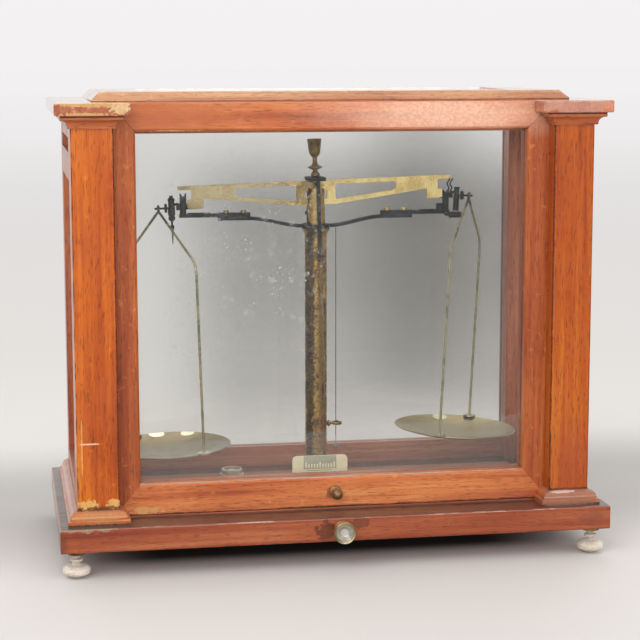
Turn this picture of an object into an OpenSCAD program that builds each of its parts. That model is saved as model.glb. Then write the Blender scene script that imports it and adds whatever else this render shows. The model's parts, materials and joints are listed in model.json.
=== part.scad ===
// Equal-arm knife-edge balance in a glazed mahogany case.
// Millimetres. +X right, +Y to the back, +Z up; the feet stand on z = 0.

/* [Plinth and feet] */
// Width of the plinth, left to right
plinth_w = 460; // [440:2:500]
// Depth of the plinth, front to back
plinth_d = 230; // [226:2:260]
// Thickness of the plinth boards
plinth_h = 20; // [17:1:24]
// Width of the plinth's front and rear boards
plinth_board = 57; // [52:1:64]
// Width of the plinth's end boards
plinth_end = 46; // [42:1:50]
// Thickness of the floor board let into the plinth
floor_t = 5; // [4:0.5:5]
// Clear height under the plinth
foot_gap = 23; // [20:0.5:32]
// Radius of the foot discs
foot_r = 11.4; // [9:0.2:12]
// Inset of the front feet from the plinth's front and ends
foot_inset = 13; // [12.5:0.5:16]

/* [Posts and frames] */
// Height from the plinth's top to the underside of the cap slabs
body_h = 329.5; // [329:0.5:350]
// Width of the front pilasters
post_w = 34; // [34:1:38]
// Depth of the front pilasters
post_d = 42; // [42:1:46]
// Inset of the pilasters from the plinth's ends
post_side_inset = 15; // [12:1:18]
// Inset of the pilasters from the plinth's front
post_front_inset = 16.6; // [14:0.2:18]
// Side of the square rear posts
rear_post = 24; // [22:1:28]
// Thickness of the side and rear frame rails
rail_t = 12; // [11:0.5:14]
// Height of the side frames' bottom rail
side_rail_low = 25.5; // [22:0.5:34]
// Height of the frieze rail under the side frames' slot panel
side_rail_mid = 22.6; // [18:0.5:28]
// Height of the recessed frieze panel
frieze_h = 12; // [8:1:16]
// Height of the side frames' top rail
side_rail_top = 19; // [16:1:24]
// Height of the rear frame's rails
back_rail = 18.5; // [18:0.5:26]
// Thickness of the side, rear and top glass
glass_t = 2.4; // [2:0.1:3]
// Depth of the glass grooves
groove = 3; // [2.5:0.5:4]

/* [Mouldings and top] */
// Projection of the base moulding
base_out = 8.2; // [7.6:0.2:11]
// Height of the base moulding
base_h = 11.5; // [10:0.5:15]
// Height of the base moulding's lower fillet
base_fillet = 4.2; // [3:0.2:5]
// Projection of the capital moulding
capital_out = 8; // [6:0.5:9]
// Height of the capital moulding
capital_h = 10; // [9:0.5:13]
// Thickness of the cap slabs
cap_t = 10; // [8:0.5:13]
// Overhang of the cap slabs past the pilasters, at the ends
cap_over_side = 12.7; // [11:0.1:14.5]
// Overhang of the cap slabs past the pilasters, front and back
cap_over_front = 10.9; // [10:0.1:14]
// How far the cap slabs reach inwards past the pilasters
cap_over_in = 13; // [12:1:20]
// Height of the bevelled top frame
top_h = 7.5; // [6.5:0.5:10]
// Width of the bevel round the top frame
top_bevel = 7; // [4:0.5:9]
// Half length of the top frame
top_half = 201; // [196:1:206]
// How far the top frame sits to the right of the middle
top_shift = 5; // [0:0.5:6]
// Width of the top frame's end members
top_end = 43; // [40:1:48]
// Width of the top frame's long members
top_long = 25; // [22:1:30]

/* [Sash] */
// Thickness of the sliding sash
sash_t = 20; // [18:0.5:21]
// Setback of the sash behind the pilasters' front
sash_setback = 16.3; // [15:0.1:17]
// How far the sash edge enters the pilaster groove
sash_tongue = 3.2; // [3.1:0.1:3.6]
// Width of the sash stiles
stile_w = 21.6; // [20:0.2:26]
// Height of the sash's top rail
sash_top = 22.6; // [20:0.2:26]
// Height of the sash's bottom rail
sash_bottom = 25.6; // [24:0.2:32]
// Height the sash stands above the plinth, on its sill
sash_lift = 1.5; // [1.5:0.5:5]
// Running clearance of the sash in its grooves
sash_play = 0.6; // [0.4:0.1:0.8]
// Width of the small bevel round the sash glass
sash_bevel = 2; // [1:0.5:3]
// Radius of the counterweights
weight_r = 8; // [6:0.5:8.5]
// Length of the counterweights
weight_len = 70; // [50:5:75]
// Radius of the cord's path round a pulley
pulley_path = 7.65; // [7.4:0.05:7.9]
// Diameter of the sash cord
cord_d = 1.6; // [1:0.2:1.8]

/* [Balance] */
// How far the balance stands behind the plinth's centre line
bal_y = 12; // [6:1:14]
// Height of the central knife edge above the case floor
knife_h = 263.5; // [262:0.5:266]
// Distance from the central knife to each end knife
arm_len = 126.1; // [126:0.1:127.5]
// How far the end knives lie below the central one
end_drop = 7.5; // [7.2:0.1:7.8]
// Tilt of the beam as it lies over, right end up, in degrees
rest_tilt = 1.7; // [0.5:0.1:1.7]
// Thickness of the beam
beam_t = 5; // [4:0.2:5.2]
// Height of the beam's top edge above the knife line
beam_top = 5; // [4.6:0.1:6]
// Width of the beam's upper rib
beam_rib = 3.6; // [3:0.1:4]
// Radius of the column tube
tube_r = 9.5; // [8.8:0.1:9.9]
// Bore radius of the column tube
tube_bore = 6.5; // [5.5:0.1:7]
// Radius of the slotted column head
head_r = 8; // [7.6:0.1:8.4]
// Radius of the column collar and of the arrest ring
collar_r = 12; // [11.4:0.1:12.2]
// Radius of the lift rod
rod_r = 3; // [2.4:0.1:3.4]
// Travel of the arrestment
arrest_lift = 2; // [1:0.1:2.2]
// Radius of the arrestment shaft
shaft_r = 3; // [2.5:0.1:3.2]
// Radius of the arrestment knob
knob_r = 9; // [7:0.2:9]
// How far the arrestment knob stands out of the plinth
knob_out = 13.5; // [12:0.5:18]
// Radius of a pan's rim
pan_r = 53.4; // [46:0.2:55]
// Depth of a pan
pan_depth = 8; // [5:0.5:12]
// Thickness of a pan's sheet
pan_t = 0.9; // [0.6:0.1:1.4]
// Drop of the hanger from its spindle to the pan's rim
hanger_drop = 208; // [190:1:212]
// Drop of the hanger's shoulders below its spindle
shoulder_drop = 44.3; // [36:0.5:50]
// Diameter of the hanger wire
wire_d = 2.2; // [1.8:0.1:2.4]
// Turn of the hangers about the vertical, in degrees
hanger_turn = 28.6; // [10:0.2:35]
// Lean of the right hanger towards the column, in degrees
lean_right = 3; // [0:0.1:3.4]
// Lean of the left hanger towards the column, in degrees
lean_left = 1.8; // [0:0.1:3.4]
// Length of the pointer below the knife line
pointer_len = 200; // [150:1:210]
// Height of the ivory scale plate
plate_h = 29; // [20:0.5:32]
// Width of the ivory scale plate
plate_w = 49; // [40:1:60]

/* [Hidden] */
$fn = 64;

// Colours as the photograph shows them
mahogany = [0.66, 0.36, 0.16];
rail_red = [0.60, 0.31, 0.20];
glass_tint = [0.80, 0.86, 0.84, 0.35];
beam_brass = [0.78, 0.66, 0.38];
aged_brass = [0.52, 0.43, 0.24];
blued_steel = [0.20, 0.21, 0.24];
nickel = [0.66, 0.64, 0.58];
ivory = [0.93, 0.89, 0.74];

// Small clearances
seat = 0.3;
slip = 0.08;
hair = 0.05;

// Levels and planes of the case
floor_z = foot_gap + plinth_h;
cap_z = floor_z + body_h;
cap_top = cap_z + cap_t;
shift_y = knob_out / 2;
post_out = plinth_w / 2 - post_side_inset;
post_in = post_out - post_w;
front_y = -plinth_d / 2 + post_front_inset;
rear_y = -front_y;
post_back = front_y + post_d;
sash_front = front_y + sash_setback;
sash_back = sash_front + sash_t;
sash_mid = (sash_front + sash_back) / 2;
sash_half = post_in + sash_tongue;
edge_play = 0.8;
groove_x = sash_half + edge_play;
glass_in = 4.8;
glass_out = glass_in + glass_t;
glass_play = 0.1;
side_glass_low = floor_z + side_rail_low;
side_glass_top = cap_z - side_rail_top - frieze_h - side_rail_mid;
rear_in = post_out - rear_post;
back_low = floor_z + back_rail;
back_top = cap_z - back_rail;
slab_in = post_in - cap_over_in;
slab_out = post_out + cap_over_side;
top_front = sash_back + 5;
top_back = rear_y + 1.6;
worn_edge = 1.2;
top_rail_t = 14;
top_rail_h = 16;

// Hidden counterweight run
pulley_x = sash_half - 1.5 + pulley_path;
pulley_z = cap_z - 16;
pulley_rim = pulley_path + 0.95;
pulley_w = 5;
pulley_pin_r = 1.5;
weight_x = pulley_x + pulley_path;
cavity_x0 = groove_x + 3.5;
cavity_x1 = weight_x + weight_r + 2;
cavity_y0 = sash_mid - weight_r - 4;
cavity_y1 = post_back - 4.6;
cord_end_z = floor_z + 93;
weight_top = pulley_z - 30;

// Arrestment under the floor
shaft_z = floor_z - plinth_h / 2;
cam_base = shaft_r + 0.9;
cam_t = 6;
cam_pocket = 8;
dish_deep = 4.8;
rod_foot = shaft_z + cam_base + hair;

// Heights in the balance, above the case floor
ring_h = knife_h - 36;
ring_t = 3.3;
collar_h = 5.9;
collar_top = ring_h - seat;
tube_top = collar_top - collar_h;
knife_z = floor_z + knife_h;
arm_w = 6;
arm_t = 2.8;
arm_rise = 7.4;
clamp_x0 = 57.7;
clamp_x1 = 85.4;
clamp_t = 3.7;
screw_x = [clamp_x0 + 5.8, clamp_x1 - 6.9];
rest_x = 115.8;
rest_r = 2.9;
rest_y = -1;
arm_end = rest_x + rest_r + 0.3;
arm_top_z = ring_h + ring_t / 2 + arm_rise + arm_t / 2 + clamp_t;
leg_in = 98.5;
leg_out = 108.2;
leg_low = -14.8;
boss_out = 112.2;
finger_out = 120;
finger_t = 3.2;
cheek_slot = beam_t / 2 + 1.3;
slot_deep = 17.6;
agate_t = 1.5;
yoke_t = 3;
yoke_half = collar_r + 0.9;
spindle_z = -5.8;
spindle_x = 11.3;
spindle_r = 0.9;
barrel_r = 3.1;
hook_r = 2.6;
pan_lip = 1.1;
pad_r = 5.5;
plumb_x = 17.8;
bob_z = 32.5;
bob_r = 2.6;
eye_h = 53.5;
eye_x = plumb_x + 0.8;
eye_ring = 4.5;
eye_stem = eye_x - eye_ring + 0.4 - tube_r - hair;

function arc(cx, cy, r, a0, a1, n) =
    [for (i = [0:n]) let (a = a0 + (a1 - a0) * i / n) [cx + r * cos(a), cy + r * sin(a)]];
function rounded(x0, x1, y0, y1, r) = concat(
    arc(x1 - r, y1 - r, r, 0, 90, 3), arc(x0 + r, y1 - r, r, 90, 180, 3),
    arc(x0 + r, y0 + r, r, 180, 270, 3), arc(x1 - r, y0 + r, r, 270, 360, 3));
// Outlines of the mouldings as [projection, height] pairs, from the bottom up
function base_profile() = concat(
    [[base_out, 0], [base_out, base_fillet]],
    [for (i = [0:7]) let (a = 90 * i / 8) [0.8 + (base_out - 2.8) * cos(a),
        base_fillet + 0.5 + (base_h - base_fillet - 1) * sin(a)]],
    [[0.8, base_h]]);
function capital_profile() = let (cove = capital_out - 2.8) concat(
    [[2.2, 0], [2.2, 1.2]],
    arc(2.2 + cove, 1.2, cove, 180, 90, 6),
    [[capital_out, capital_h - 3.2], [capital_out, capital_h]]);
function both_sides(prof, a0, a1) = concat(
    [for (p = prof) [a1 + p[0], p[1]]],
    [for (i = [len(prof) - 1:-1:0]) [a0 - prof[i][0], prof[i][1]]]);
function front_side(prof, a0, a1) = concat(
    [[a1, prof[0][1]], [a1, prof[len(prof) - 1][1]]],
    [for (i = [len(prof) - 1:-1:0]) [a0 - prof[i][0], prof[i][1]]]);

// Draws on the right side, or its mirror image on the left
module on_side(s) {
    if (s > 0)
        children();
    else
        mirror([1, 0, 0]) children();
}
module both() {
    for (s = [-1, 1])
        on_side(s) children();
}
module block(x0, x1, y0, y1, z0, z1) {
    translate([x0, y0, z0]) cube([x1 - x0, y1 - y0, z1 - z0]);
}
// Extrusions of a flat outline along X, along Y, or upright
module along_y(y0, y1, pts) {
    translate([0, y1, 0]) rotate([90, 0, 0]) linear_extrude(y1 - y0) polygon(pts);
}
module along_x(x0, x1, pts) {
    translate([x0, 0, 0]) rotate([90, 0, 90]) linear_extrude(x1 - x0) polygon(pts);
}
module pin_y(x, z, r, y0, y1) {
    translate([x, y1, z]) rotate([90, 0, 0]) cylinder(r = r, h = y1 - y0);
}
module pin_x(y, z, r, x0, x1) {
    translate([x0, y, z]) rotate([0, 90, 0]) cylinder(r = r, h = x1 - x0);
}
// A board whose four long edges are a little rounded by wear
module worn_board(x0, x1, y0, y1, z0, z1, r) {
    intersection() {
        along_y(y0 - 1, y1 + 1, rounded(x0, x1, z0, z1, r));
        along_x(x0 - 1, x1 + 1, rounded(y0, y1, z0, z1, r));
    }
}
module rod(p, q, d) {
    v = q - p;
    len = norm(v);
    turn = atan2(v[1], v[0]);
    lean = acos(v[2] / len);
    translate(p) rotate([0, lean, turn]) cylinder(d = d, h = len, $fn = 24);
}
// Frames of reference for the parts of the balance
module case_place() {
    translate([0, shift_y, 0]) children();
}
module balance_place() {
    case_place() translate([0, bal_y, floor_z]) children();
}
module beam_place() {
    balance_place() translate([0, 0, knife_h]) rotate([0, -rest_tilt, 0]) children();
}
module stirrup_place(s) {
    x = s * (arm_len * cos(rest_tilt)) + end_drop * sin(rest_tilt);
    z = s * arm_len * sin(rest_tilt) - end_drop * cos(rest_tilt);
    balance_place() translate([x, 0, knife_h + z]) on_side(s)
        rotate([0, s > 0 ? lean_right : lean_left, 0]) children();
}

// Case
module plinth() {
    w = plinth_w / 2;
    d = plinth_d / 2;
    end_in = w - plinth_end;
    board_in = d - plinth_board;
    rebate = 6;
    color(mahogany) case_place() difference() {
        union() {
            for (s = [-1, 1])
                worn_board(-w, w, s > 0 ? board_in : -d, s > 0 ? d : -board_in,
                           foot_gap, floor_z, worn_edge);
            both() intersection() {
                worn_board(end_in, w, -d, d, foot_gap, floor_z, worn_edge);
                block(end_in - 1, w + 1, -board_in, board_in, foot_gap, floor_z);
            }
            block(-post_in + seat, post_in - seat, sash_front, sash_back,
                  floor_z - hair, floor_z + sash_lift - seat);
        }
        block(-end_in - rebate, end_in + rebate, -board_in - rebate, board_in + rebate,
              floor_z - floor_t, floor_z + hair);
        both() translate([w - foot_inset, -d + foot_inset, foot_gap - 1])
            cylinder(r = 5.05, h = 14);
        translate([0, d - foot_inset, foot_gap - 1]) cylinder(r = 3.05, h = 12);
        pin_y(0, shaft_z, 5.05, -d - 1, -d + 16);
        pin_y(0, shaft_z, shaft_r + 0.4, -d, -board_in + 1);
    }
}
module floor_board() {
    w = plinth_w / 2 - plinth_end + 6 - glass_play;
    d = plinth_d / 2 - plinth_board + 6 - glass_play;
    color(rail_red) case_place() difference() {
        block(-w, w, -d, d, floor_z - floor_t, floor_z);
        translate([0, bal_y, floor_z - floor_t - 1]) cylinder(r = cam_pocket, h = floor_t + 2);
    }
}
module moulding(prof, z0) {
    lift = [for (p = prof) [p[0], p[1] + z0]];
    h = prof[len(prof) - 1][1];
    difference() {
        intersection() {
            along_y(front_y - 20, rear_y, both_sides(lift, post_in, post_out));
            along_x(post_in - 20, post_out + 20, front_side(lift, front_y, rear_y));
        }
        block(post_in, post_out, front_y, rear_y + 1, z0 - 1, z0 + h + 1);
        block(post_in - 20, post_in + 1, sash_front - sash_play, rear_y + 1, z0 - 1, z0 + h + 1);
    }
}
module base_mouldings() {
    color(mahogany) case_place() both() moulding(base_profile(), floor_z);
}
module capitals() {
    color(mahogany) case_place() both() moulding(capital_profile(), cap_z - capital_h);
}
module front_pilaster(s) {
    color(mahogany) case_place() on_side(s) difference() {
        translate([0, 0, floor_z]) linear_extrude(body_h)
            polygon(rounded(post_in, post_out, front_y, post_back, 0.8));
        block(post_in - 1, groove_x, sash_front - sash_play, sash_back + sash_play,
              floor_z - 1, cap_z + 1);
        block(cavity_x0, cavity_x1, cavity_y0, cavity_y1, floor_z - 1, cap_z + 1);
        block(groove_x - 1, cavity_x0 + 1, sash_mid - pulley_w / 2 - 1,
              sash_mid + pulley_w / 2 + 1, pulley_z - 13, cap_z + 1);
        pin_y(pulley_x, pulley_z, pulley_pin_r + hair, cavity_y0 - 3, cavity_y1 + 3);
        block(post_out - glass_out - glass_play, post_out - glass_in + glass_play,
              post_back - groove, post_back + 1,
              side_glass_low - groove, side_glass_top + groove);
    }
}
module rear_posts() {
    color(mahogany) case_place() both() difference() {
        translate([0, 0, floor_z]) linear_extrude(body_h)
            polygon(rounded(rear_in, post_out, rear_y - rear_post, rear_y, 0.8));
        block(post_out - glass_out - glass_play, post_out - glass_in + glass_play,
              rear_y - rear_post - 1, rear_y - rear_post + groove,
              side_glass_low - groove, side_glass_top + groove);
        block(rear_in - 1, rear_in + groove, rear_y - glass_out - glass_play,
              rear_y - glass_in + glass_play, back_low - groove, back_top + groove);
    }
}
module side_rails() {
    y1 = rear_y - rear_post;
    x0 = post_out - rail_t;
    top_low = cap_z - side_rail_top;
    color(rail_red) case_place() both() {
        difference() {
            union() {
                block(x0, post_out, post_back, y1, floor_z, side_glass_low);
                block(x0, post_out, post_back, y1, side_glass_top, top_low - frieze_h);
            }
            block(post_out - glass_out - glass_play, post_out - glass_in + glass_play,
                  post_back - 1, y1 + 1, side_glass_low - groove, side_glass_top + groove);
        }
        block(x0 + 2, post_out - 5, post_back, y1, top_low - frieze_h, top_low);
        block(x0, post_out, post_back, y1, top_low, cap_z);
    }
}
module side_glasses() {
    into = groove - glass_play;
    color(glass_tint) case_place() both()
        block(post_out - glass_out, post_out - glass_in, post_back - into,
              rear_y - rear_post + into, side_glass_low - into, side_glass_top + into);
}
module back_rails() {
    color(rail_red) case_place() difference() {
        union() {
            block(-rear_in, rear_in, rear_y - rail_t, rear_y, floor_z, back_low);
            block(-rear_in, rear_in, rear_y - rail_t, rear_y, back_top, cap_z);
        }
        block(-rear_in - 1, rear_in + 1, rear_y - glass_out - glass_play,
              rear_y - glass_in + glass_play, back_low - groove, back_top + groove);
    }
}
module back_glass() {
    into = groove - glass_play;
    color(glass_tint) case_place()
        block(-rear_in - into, rear_in + into, rear_y - glass_out, rear_y - glass_in,
              back_low - into, back_top + into);
}
module cap_slabs() {
    color(mahogany) case_place() both() difference() {
        worn_board(slab_in, slab_out, front_y - cap_over_front, rear_y + cap_over_front,
                   cap_z, cap_top, worn_edge);
        block(slab_in - 1, groove_x, sash_front - sash_play, sash_back + sash_play,
              cap_z - 1, cap_top + 1);
    }
}
module top_rails() {
    y0 = sash_back + sash_play;
    color(rail_red) case_place() {
        block(-post_in, post_in, y0, y0 + top_rail_t, cap_z - top_rail_h, cap_z);
        block(-slab_in, slab_in, y0, y0 + top_rail_t, cap_z, cap_top);
        block(-slab_in, slab_in, rear_y - rail_t - 10, rear_y + cap_over_front, cap_z, cap_top);
    }
}
module top_frame() {
    lip = 1;
    yc = (top_front + top_back) / 2;
    xi = top_half - top_end;
    y0 = top_front + top_long;
    y1 = top_back - top_long;
    g = groove + 1;
    color(mahogany) case_place() translate([top_shift, 0, 0]) difference() {
        intersection() {
            along_y(top_front, top_back, [[-top_half, cap_top], [top_half, cap_top],
                [top_half, cap_top + lip], [top_half - top_bevel, cap_top + top_h],
                [top_bevel - top_half, cap_top + top_h], [-top_half, cap_top + lip]]);
            along_x(-top_half, top_half, [[top_front, cap_top], [top_back, cap_top],
                [top_back, cap_top + lip], [top_back - top_bevel, cap_top + top_h],
                [top_front + top_bevel, cap_top + top_h], [top_front, cap_top + lip]]);
        }
        block(-xi, xi, y0, y1, cap_top - 1, cap_top + top_h + 1);
        block(-xi - g, xi + g, y0 - g, y1 + g, cap_top + 2, cap_top + 2 + glass_t + 2 * glass_play);
    }
}
module top_glass() {
    into = groove + 1 - glass_play;
    xi = top_half - top_end;
    color(glass_tint) case_place() translate([top_shift, 0, 0])
        block(-xi - into, xi + into, top_front + top_long - into, top_back - top_long + into,
              cap_top + 2 + glass_play, cap_top + 2 + glass_play + glass_t);
}

// Sliding sash, its cords, pulleys and counterweights
sash_z0 = floor_z + sash_lift;
sash_z1 = cap_top - edge_play;
sash_glass_x = sash_half - stile_w;
sash_glass_z0 = sash_z0 + sash_bottom;
sash_glass_z1 = sash_z1 - sash_top;
module sash_frame() {
    g = groove + 1;
    b = sash_bevel;
    color(rail_red) case_place() difference() {
        worn_board(-sash_half, sash_half, sash_front, sash_back, sash_z0, sash_z1, 0.6);
        block(-sash_glass_x, sash_glass_x, sash_front - 1, sash_back + 1,
              sash_glass_z0, sash_glass_z1);
        block(-sash_glass_x - g, sash_glass_x + g, sash_mid - glass_t / 2 - glass_play,
              sash_mid + glass_t / 2 + glass_play, sash_glass_z0 - g, sash_glass_z1 + g);
        intersection() {
            along_x(-sash_half, sash_half, [[sash_front - 1, sash_glass_z0 - b - 1],
                [sash_front + b, sash_glass_z0], [sash_front + b, sash_glass_z1],
                [sash_front - 1, sash_glass_z1 + b + 1]]);
            linear_extrude(cap_top + 10)
                polygon([[-sash_glass_x - b - 1, sash_front - 1], [sash_glass_x + b + 1, sash_front - 1],
                         [sash_glass_x, sash_front + b], [-sash_glass_x, sash_front + b]]);
        }
        both() block(sash_half - 3, sash_half + 1, sash_mid - pulley_w / 2 - 0.7,
                     sash_mid + pulley_w / 2 + 0.7, cord_end_z, sash_z1 + 1);
    }
}
module sash_glass() {
    into = groove + 1 - glass_play;
    color(glass_tint) case_place()
        block(-sash_glass_x - into, sash_glass_x + into, sash_mid - glass_t / 2,
              sash_mid + glass_t / 2, sash_glass_z0 - into, sash_glass_z1 + into);
}
module sash_knob() {
    color(aged_brass) case_place()
        translate([0, sash_front, sash_z0 + sash_bottom / 2]) rotate([90, 0, 0]) rotate_extrude()
            polygon(concat([[0, 0], [5.2, 0], [5.2, 1.4], [3.2, 2], [2.6, 4], [2.8, 6.5]],
                           arc(0, 10.2, 4.6, -52, 90, 10)));
}
module pulley(s) {
    w = pulley_w / 2;
    floor_r = pulley_path - cord_d / 2 - seat;
    color(aged_brass) case_place() on_side(s)
        translate([pulley_x, sash_mid, pulley_z]) rotate([90, 0, 0]) rotate_extrude()
            polygon([[pulley_pin_r + slip, -w], [pulley_rim, -w], [pulley_rim, -w + 0.6],
                     [floor_r, -cord_d / 2 - 0.4], [floor_r, cord_d / 2 + 0.4],
                     [pulley_rim, w - 0.6], [pulley_rim, w], [pulley_pin_r + slip, w]]);
}
module pulley_pins() {
    color(nickel) case_place() both()
        pin_y(pulley_x, pulley_z, pulley_pin_r, cavity_y0 - 2.9, cavity_y1 + 2.9);
}
module counterweights() {
    color([0.35, 0.35, 0.36]) case_place() both()
        translate([weight_x, sash_mid, weight_top - weight_len]) rotate_extrude()
            polygon([[0, 0], [weight_r - 1, 0], [weight_r, 1], [weight_r, weight_len - 4],
                     [weight_r - 4, weight_len], [0, weight_len]]);
}
module sash_cords() {
    color([0.75, 0.70, 0.58]) case_place() both()
        translate([pulley_x - pulley_path, sash_mid, cord_end_z])
            cylinder(d = cord_d, h = pulley_z - cord_end_z, $fn = 16);
}
module weight_cords() {
    color([0.75, 0.70, 0.58]) case_place() both()
        translate([weight_x, sash_mid, weight_top])
            cylinder(d = cord_d, h = pulley_z - weight_top, $fn = 16);
}
module cord_loops() {
    color([0.75, 0.70, 0.58]) case_place() both()
        translate([pulley_x, sash_mid, pulley_z]) rotate([90, 0, 0])
            rotate_extrude(angle = 180) translate([pulley_path, 0]) circle(d = cord_d, $fn = 16);
}

// Feet and fittings on the case
module levelling_screw(s) {
    color(nickel) case_place()
        translate([s * (plinth_w / 2 - foot_inset), -plinth_d / 2 + foot_inset, 0]) rotate_extrude()
            polygon([[0, 0], [2.6, 0], [3, 2], [foot_r - 3, 2.6], [foot_r - 0.8, 4], [foot_r, 5.4],
                     [foot_r - 0.7, 6], [foot_r, 6.8], [foot_r - 0.6, 8.6], [foot_r - 3, 10.4],
                     [4.2, 11.4], [3.4, 13], [5.2, 14.4], [5.2, 16], [3, 17],
                     [3, foot_gap + 11], [0, foot_gap + 11]]);
}
module foot_sockets() {
    color(aged_brass) case_place() both()
        translate([plinth_w / 2 - foot_inset, -plinth_d / 2 + foot_inset, 0]) rotate_extrude()
            polygon([[3 + slip, foot_gap - 3], [7.5, foot_gap - 3], [7.5, foot_gap],
                     [5, foot_gap], [5, foot_gap + 12.5], [3 + slip, foot_gap + 12.5]]);
}
module rear_foot() {
    color(nickel) case_place() translate([0, plinth_d / 2 - foot_inset, 0]) rotate_extrude()
        polygon([[0, 0], [6, 0], [foot_r - 1, 3], [foot_r, 6], [foot_r - 1, 9], [5, 12],
                 [5, foot_gap - 3], [7.5, foot_gap - 3], [7.5, foot_gap], [3, foot_gap],
                 [3, foot_gap + 10], [0, foot_gap + 10]]);
}
level_x = -70;
level_y = plinth_d / 2 - plinth_board - 3;
module level_case() {
    color(aged_brass) case_place() translate([level_x, level_y, floor_z]) rotate_extrude()
        polygon([[0, 0], [11, 0], [11, 1.4], [9.6, 2], [9.6, 5.4], [9, 6], [7.6, 6], [7.6, 1.6], [0, 1.6]]);
}
module level_glass() {
    color(glass_tint) case_place() translate([level_x, level_y, floor_z]) rotate_extrude()
        polygon(concat([[0, 1.6], [7.55, 1.6], [7.55, 5.2]], arc(0, -31, 37, 78.2, 90, 4)));
}
plate_back = -(15 + 0.3 + 3.6);
module scale_plate() {
    r = 4;
    color(ivory) balance_place()
        along_y(plate_back - 2, plate_back, concat([[-plate_w / 2, seat], [plate_w / 2, seat]],
            arc(plate_w / 2 - r, plate_h - r, r, 0, 90, 5),
            arc(-plate_w / 2 + r, plate_h - r, r, 90, 180, 5)));
}
module scale_bracket() {
    color(aged_brass) balance_place() {
        block(-12, 12, plate_back, plate_back + 3.6, 0, 1.5);
        block(-12, 12, plate_back, plate_back + 1.2, 1.5, plate_h - 6);
    }
}

// Column
module column_base() {
    color(aged_brass) balance_place() rotate_extrude()
        polygon([[rod_r + 0.4, 0], [15, 0], [15, 2.6], [14, 3.6], [tube_r + 3, 4.4],
                 [tube_r + 2.4, 9], [tube_r + 1.4, 10], [tube_r + hair, 10],
                 [tube_r + hair, 1.5], [rod_r + 0.4, 1.5]]);
}
module column_tube() {
    color(aged_brass) balance_place() translate([0, 0, 1.5]) difference() {
        cylinder(r = tube_r, h = tube_top - 1.5);
        translate([0, 0, -1]) cylinder(r = tube_bore, h = tube_top + 1);
    }
}
module column_collar() {
    color(aged_brass) balance_place() translate([0, 0, tube_top]) rotate_extrude()
        polygon([[head_r + hair, 0], [tube_r + 0.3, 0], [tube_r + 0.5, 1.6], [collar_r - 1, 3.2],
                 [collar_r, 3.8], [collar_r, collar_h - 0.5], [collar_r - 0.5, collar_h],
                 [head_r + hair, collar_h]]);
}
module column_head() {
    top = knife_h - agate_t - hair;
    slot_low = knife_h - slot_deep;
    color(aged_brass) balance_place() difference() {
        union() {
            translate([0, 0, tube_top]) cylinder(r = head_r, h = top - tube_top);
            translate([0, 0, tube_top - 14]) cylinder(r = tube_bore - hair, h = 14);
        }
        block(-20, 20, -cheek_slot, cheek_slot, slot_low, top + 1);
        translate([0, 0, tube_top - 15]) cylinder(r = rod_r + slip, h = ring_h + 12 - tube_top + 15);
        block(-20, 20, -1.35, 1.35, ring_h + ring_t / 2 - 1.5,
              ring_h + ring_t / 2 + 1.5 + arrest_lift + 0.3);
    }
}
module agate_planes() {
    color([0.75, 0.62, 0.55]) balance_place() for (s = [-1, 1])
        translate([0, s * (cheek_slot + 2), knife_h - hair - agate_t / 2])
            cube([6, 3.4, agate_t], center = true);
}
module plumb_eye() {
    color(aged_brass) balance_place() translate([0, 0, eye_h]) {
        translate([tube_r + hair, 0, 0]) rotate([0, 90, 0]) rotate_extrude()
            polygon([[0, 0], [1.1, 0], [3.1, 1.7], [3.1, 2.1], [1.1, 3.8], [0.9, eye_stem], [0, eye_stem]]);
        translate([eye_x, 0, -1.2]) rotate_extrude()
            polygon([[eye_ring - 1.4, 0.5], [eye_ring - 1.1, 0], [eye_ring - 0.3, 0], [eye_ring, 0.5],
                     [eye_ring, 1.9], [eye_ring - 0.3, 2.4], [eye_ring - 1.1, 2.4], [eye_ring - 1.4, 1.9]]);
    }
}

// Arrestment
module lift_rod() {
    color(nickel) balance_place() {
        translate([0, 0, rod_foot - floor_z])
            cylinder(r = rod_r, h = ring_h + ring_t + 3 - rod_foot + floor_z);
        pin_x(0, ring_h + ring_t / 2, 1.2, -collar_r + 0.4, collar_r - 0.4);
    }
}
module arrest_arm() {
    zc = ring_h + ring_t / 2;
    n = 12;
    path = [for (i = [0:n]) let (t = i / n)
        [head_r + 1.5 + (60 - head_r - 1.5) * t, zc + arm_rise * (1 - cos(180 * t)) / 2]];
    line = concat(path, [[clamp_x1, zc + arm_rise]]);
    color(blued_steel) balance_place() difference() {
        union() {
            translate([0, 0, ring_h]) cylinder(r = collar_r, h = ring_t);
            both() along_y(-arm_w / 2, arm_w / 2, concat(
                [for (p = line) [p[0], p[1] + arm_t / 2]],
                [for (i = [len(line) - 1:-1:0]) [line[i][0], line[i][1] - arm_t / 2]]));
        }
        translate([0, 0, ring_h - 5]) cylinder(r = head_r + slip, h = ring_t + 10);
        pin_x(0, zc, 1.22, -collar_r - 1, collar_r + 1);
    }
}
module outer_arms() {
    z0 = arm_top_z - clamp_t;
    color(blued_steel) balance_place() both() difference() {
        union() {
            along_y(-arm_w / 2, arm_w / 2, [[clamp_x0, z0], [arm_end, z0 + 0.2],
                [arm_end, arm_top_z - 0.6], [clamp_x1 + 4, arm_top_z - 0.6],
                [clamp_x1, arm_top_z], [clamp_x0, arm_top_z]]);
            block(leg_in - 6, rest_x - 4, -2.4, 2.4, arm_top_z - 0.7, arm_top_z + 0.4);
        }
        for (x = screw_x)
            translate([x, 0, z0 - 1]) cylinder(r = 1.05, h = clamp_t + 2, $fn = 24);
        translate([rest_x, rest_y, z0 - 1]) cylinder(r = 1.55, h = clamp_t + 2, $fn = 24);
    }
}
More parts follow.
